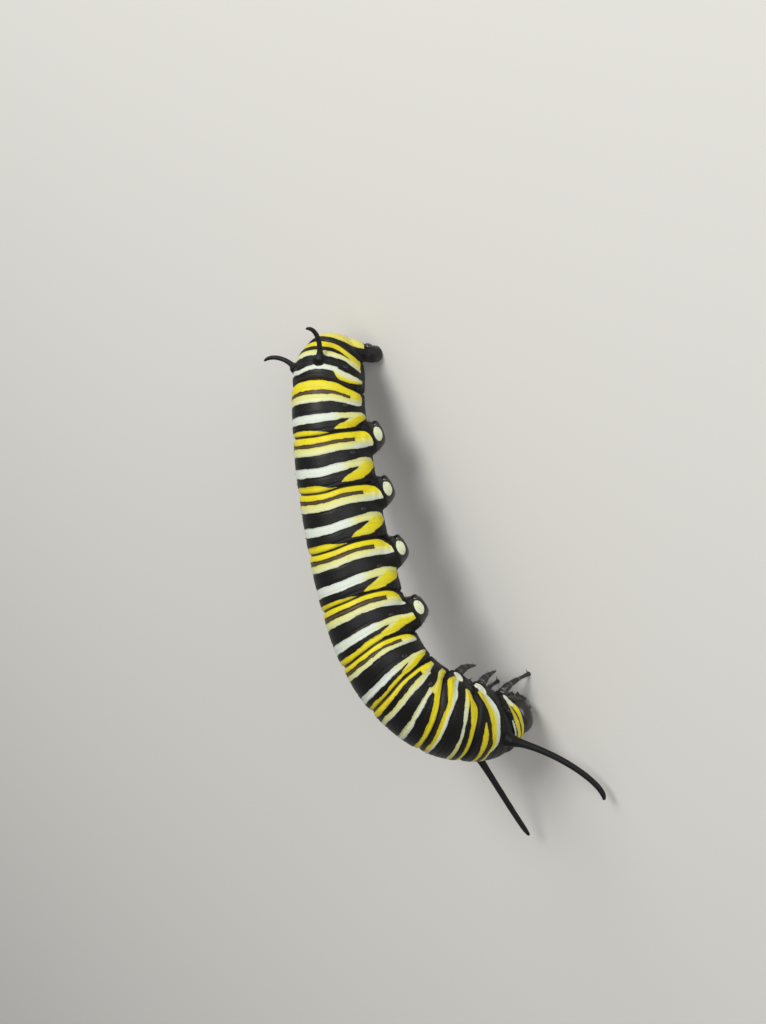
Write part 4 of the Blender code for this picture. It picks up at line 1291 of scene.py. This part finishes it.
for part, stations, radiusRow, flat in mouthRows:
    for side in (1, -1) if part != "spinneret" else (1,):
        knots = np.array([headPoint(tilt, turn * side, lift) for tilt, turn, lift in stations])
        t = np.linspace(0, len(knots) - 1, mouthForm["rings"])
        path = np.stack([smoothCurve(t, np.arange(len(knots)), knots[:, k]) for k in range(3)], -1)
        t = np.linspace(0, len(radiusRow) - 1, mouthForm["rings"])
        thick = smoothCurve(t, np.arange(len(radiusRow)), radiusRow)
        thick[-3:] *= mouthForm["end"]   # rounds the end off
        partPoints, faces = tube(path, thick, mouthForm["sides"])
        normal = unit(path[mouthForm["rings"] // 2] - headCentre)
        spine = np.concatenate([np.repeat(path, mouthForm["sides"], 0), path[:1], path[-1:]])
        offset = partPoints - spine
        partPoints = spine + offset - (offset @ normal)[:, None] * normal * (1 - flat)
        mouthParts.append((partPoints, faces))
        if part == "jaw":
            along = unit(path[-1] - path[-3])
            edge = np.cross(along, normal)
            for place in teeth["places"]:
                toothRoots.append(path[-2] + edge * teeth["apart"] * place)
                toothAims.append(along)
straight = np.zeros((len(toothRoots), 3))
mouthParts.append(spikes(np.array(toothRoots), np.array(toothAims), teeth["length"], teeth["thick"], straight,
                         teeth["sides"]))
mouthLook = (colour(26, 20, 18), colour(60, 44, 34), 0.24, colour(120, 104, 84), 14.0)
newPiece("mouthparts", *joined(mouthParts), shellPaint("mouth_shell", *mouthLook), "head_shell")
say("head made")

# Short stiff hairs on the head and its feelers, the body, the stumps and the tentacles
hairForm = dict(
    thick=0.013, sides=3, rings=4, sink=0.03, clear=0.45, lowest=0.003, bend=0.5,
    bodyHeight=0.12, stumpStart=0.3, neckGap=0.2, stumpTip=0.95, tentacleFrom=0.1,
)
headHairs = dict(count=110, tilts=(12, 98), lengths=(0.14, 0.42), lean=0.3, bend=0.25)
feelerHairs = dict(place=(43, 140), lift=0.36, length=0.42, bend=-0.2)
roots = dict(tilt=random.uniform(*headHairs["tilts"], headHairs["count"]))
roots["turn"] = random.uniform(-180, 180, headHairs["count"])
places = headPoint(roots["tilt"], roots["turn"])
outward = unit(places - headCentre)
hairRoots += list(places - outward * hairForm["sink"])
hairAims += list(unit(outward + headUp * headHairs["lean"]))
hairLengths += list(random.uniform(*headHairs["lengths"], headHairs["count"]))
hairBends += list(np.tile(headForward * headHairs["bend"], (headHairs["count"], 1)))
for side in (1, -1):
    tilt, turn = feelerHairs["place"][0], feelerHairs["place"][1] * side
    hairRoots.append(headPoint(tilt, turn, feelerHairs["lift"]))
    hairAims.append(unit(headPoint(tilt, turn, 1.0) - headCentre))
    hairLengths.append(feelerHairs["length"])
    hairBends.append(headUp * feelerHairs["bend"])
clear = points[:, 2] > hairForm["clear"]
onBody = (height < hairForm["bodyHeight"]) & (prolegShare < hairForm["stumpStart"])
onBody &= s < folds[-1] - hairForm["neckGap"]
onStumps = (prolegShare > owning["darkFrom"]) & (prolegShare < hairForm["stumpTip"])
hairGroups = (   # where, how many, shortest and longest, and how far they lean forwards
    (onBody, 1300, (0.1, 0.22), -0.5),
    (onStumps, 420, (0.16, 0.42), -0.2),
    (tentacleShare > hairForm["tentacleFrom"], 220, (0.06, 0.12), 0.0),
)
for where, count, lengths, lean in hairGroups:
    chosen = random.choice(np.where(where & clear)[0], count, replace=False)
    normals = skinNormals[chosen]
    forwards = bodyFrame(s[chosen])[1]
    hairRoots += list(points[chosen] - normals * hairForm["sink"])
    hairAims += list(unit(normals + forwards * lean))
    hairLengths += list(random.uniform(*lengths, count))
    hairBends += list(forwards * lean * hairForm["bend"])
hairRows = [np.array(row) for row in (hairRoots, hairAims, hairLengths)]
hairPoints, hairFaces = spikes(*hairRows, hairForm["thick"], np.array(hairBends), hairForm["sides"])
hairPoints[:, 2] = np.maximum(hairPoints[:, 2], hairForm["lowest"])
hairPiece = newPiece("hairs", hairPoints, hairFaces, hairPaint, "dark_limb")

# Each hair has its own small patch of the map, at its root's place on the skin laid out flat
patch = dict(step=0.001, room=0.99)
rootS, rootTheta = bodyPlace(np.array(hairRoots))[:2]
rootPlaces = np.stack([rootS / midlineS[-1], rootTheta / math.tau + 0.5], -1) * patch["room"]
corners = np.array([index for face in hairFaces for index in face])
hairOf, corner = np.divmod(corners, hairForm["sides"] * hairForm["rings"])
ring, side = np.divmod(corner, hairForm["sides"])
hairMap = rootPlaces[hairOf] + np.stack([side, ring], -1) * patch["step"]
hairPiece.data.uv_layers.new(name="OFBake").data.foreach_set("uv", hairMap.astype(np.float32).ravel())
say(f"{len(hairRoots)} hairs made")

# Floor, light and camera
studio = dict(
    floor=2.0, floorColour=colour(206, 204, 199), floorRoughness=0.9, floorSheen=0.2,
    worldColour=(0.96, 0.965, 0.97, 1), worldStrength=0.38,
)
lampRows = (   # name, place, height of its target, size, power, tint
    ("key", (0.10, 0.22, 0.25), 0.005, 0.16, 0.8, (1, 0.985, 0.96)),
    ("fill", (0.29, 0.04, 0.12), 0.005, 0.22, 0.42, (0.97, 0.99, 1)),
    ("rim", (0.02, 0.34, 0.16), 0.006, 0.2, 0.3, (1, 1, 1)),
)
view = dict(
    elevation=38, azimuth=-4, tilt=27, aim=(-0.477, 7.748, 5.245), distance=0.1172, lens=49.455, sensor=36,
    near=0.005, far=10,
)
floorCorners = np.array(((-1, -1, 0), (1, -1, 0), (1, 1, 0), (-1, 1, 0))) * studio["floor"]
floorMesh = newMesh("floor", floorCorners, [(0, 1, 2, 3)])
floor = bpy.data.objects.new("floor", floorMesh)
bpy.context.scene.collection.objects.link(floor)
floorPaint = Paint("floor", BaseColor=studio["floorColour"], Roughness=studio["floorRoughness"],
                   SpecularIORLevel=studio["floorSheen"])
floorMesh.materials.append(floorPaint.material)


def addLamp(name, place, targetHeight, size, power, tint):
    light = bpy.data.lights.new(name, "AREA")
    light.shape, light.size, light.energy, light.color = "DISK", size, power, tint
    lamp = bpy.data.objects.new(name, light)
    bpy.context.scene.collection.objects.link(lamp)
    lamp.location = place
    lamp.rotation_euler = (Vector((0, 0, targetHeight)) - Vector(place)).to_track_quat("-Z", "Y").to_euler()


def addCamera():
    # The camera leans so that the larva runs the same way in the image as in the photo
    elevation, azimuth, tilt = (math.radians(view[name]) for name in ("elevation", "azimuth", "tilt"))
    level = Vector((math.sin(azimuth), math.cos(azimuth), 0))
    away = Vector((math.cos(azimuth), -math.sin(azimuth), 0))
    back = math.cos(elevation) * away + math.sin(elevation) * Vector((0, 0, 1))
    rise = back.cross(level)
    right = -math.sin(tilt) * level - math.cos(tilt) * rise
    upward = math.cos(tilt) * level - math.sin(tilt) * rise
    data = bpy.data.cameras.new("camera")
    data.lens, data.sensor_width, data.sensor_fit = view["lens"], view["sensor"], "AUTO"
    data.clip_start, data.clip_end = view["near"], view["far"]
    camera = bpy.data.objects.new("camera", data)
    bpy.context.scene.collection.objects.link(camera)
    place = Vector(view["aim"]) * mm + back * view["distance"]
    camera.matrix_world = Matrix.Translation(place) @ Matrix((right, upward, back)).transposed().to_4x4()
    bpy.context.scene.camera = camera


for row in lampRows:
    addLamp(*row)
world = bpy.data.worlds.new("studio")
bpy.context.scene.world = world
world.use_nodes = True
world.node_tree.nodes["Background"].inputs["Color"].default_value = studio["worldColour"]
world.node_tree.nodes["Background"].inputs["Strength"].default_value = studio["worldStrength"]
addCamera()
bpy.context.scene.view_settings.view_transform = "Standard"
say("stage, lights and camera placed")
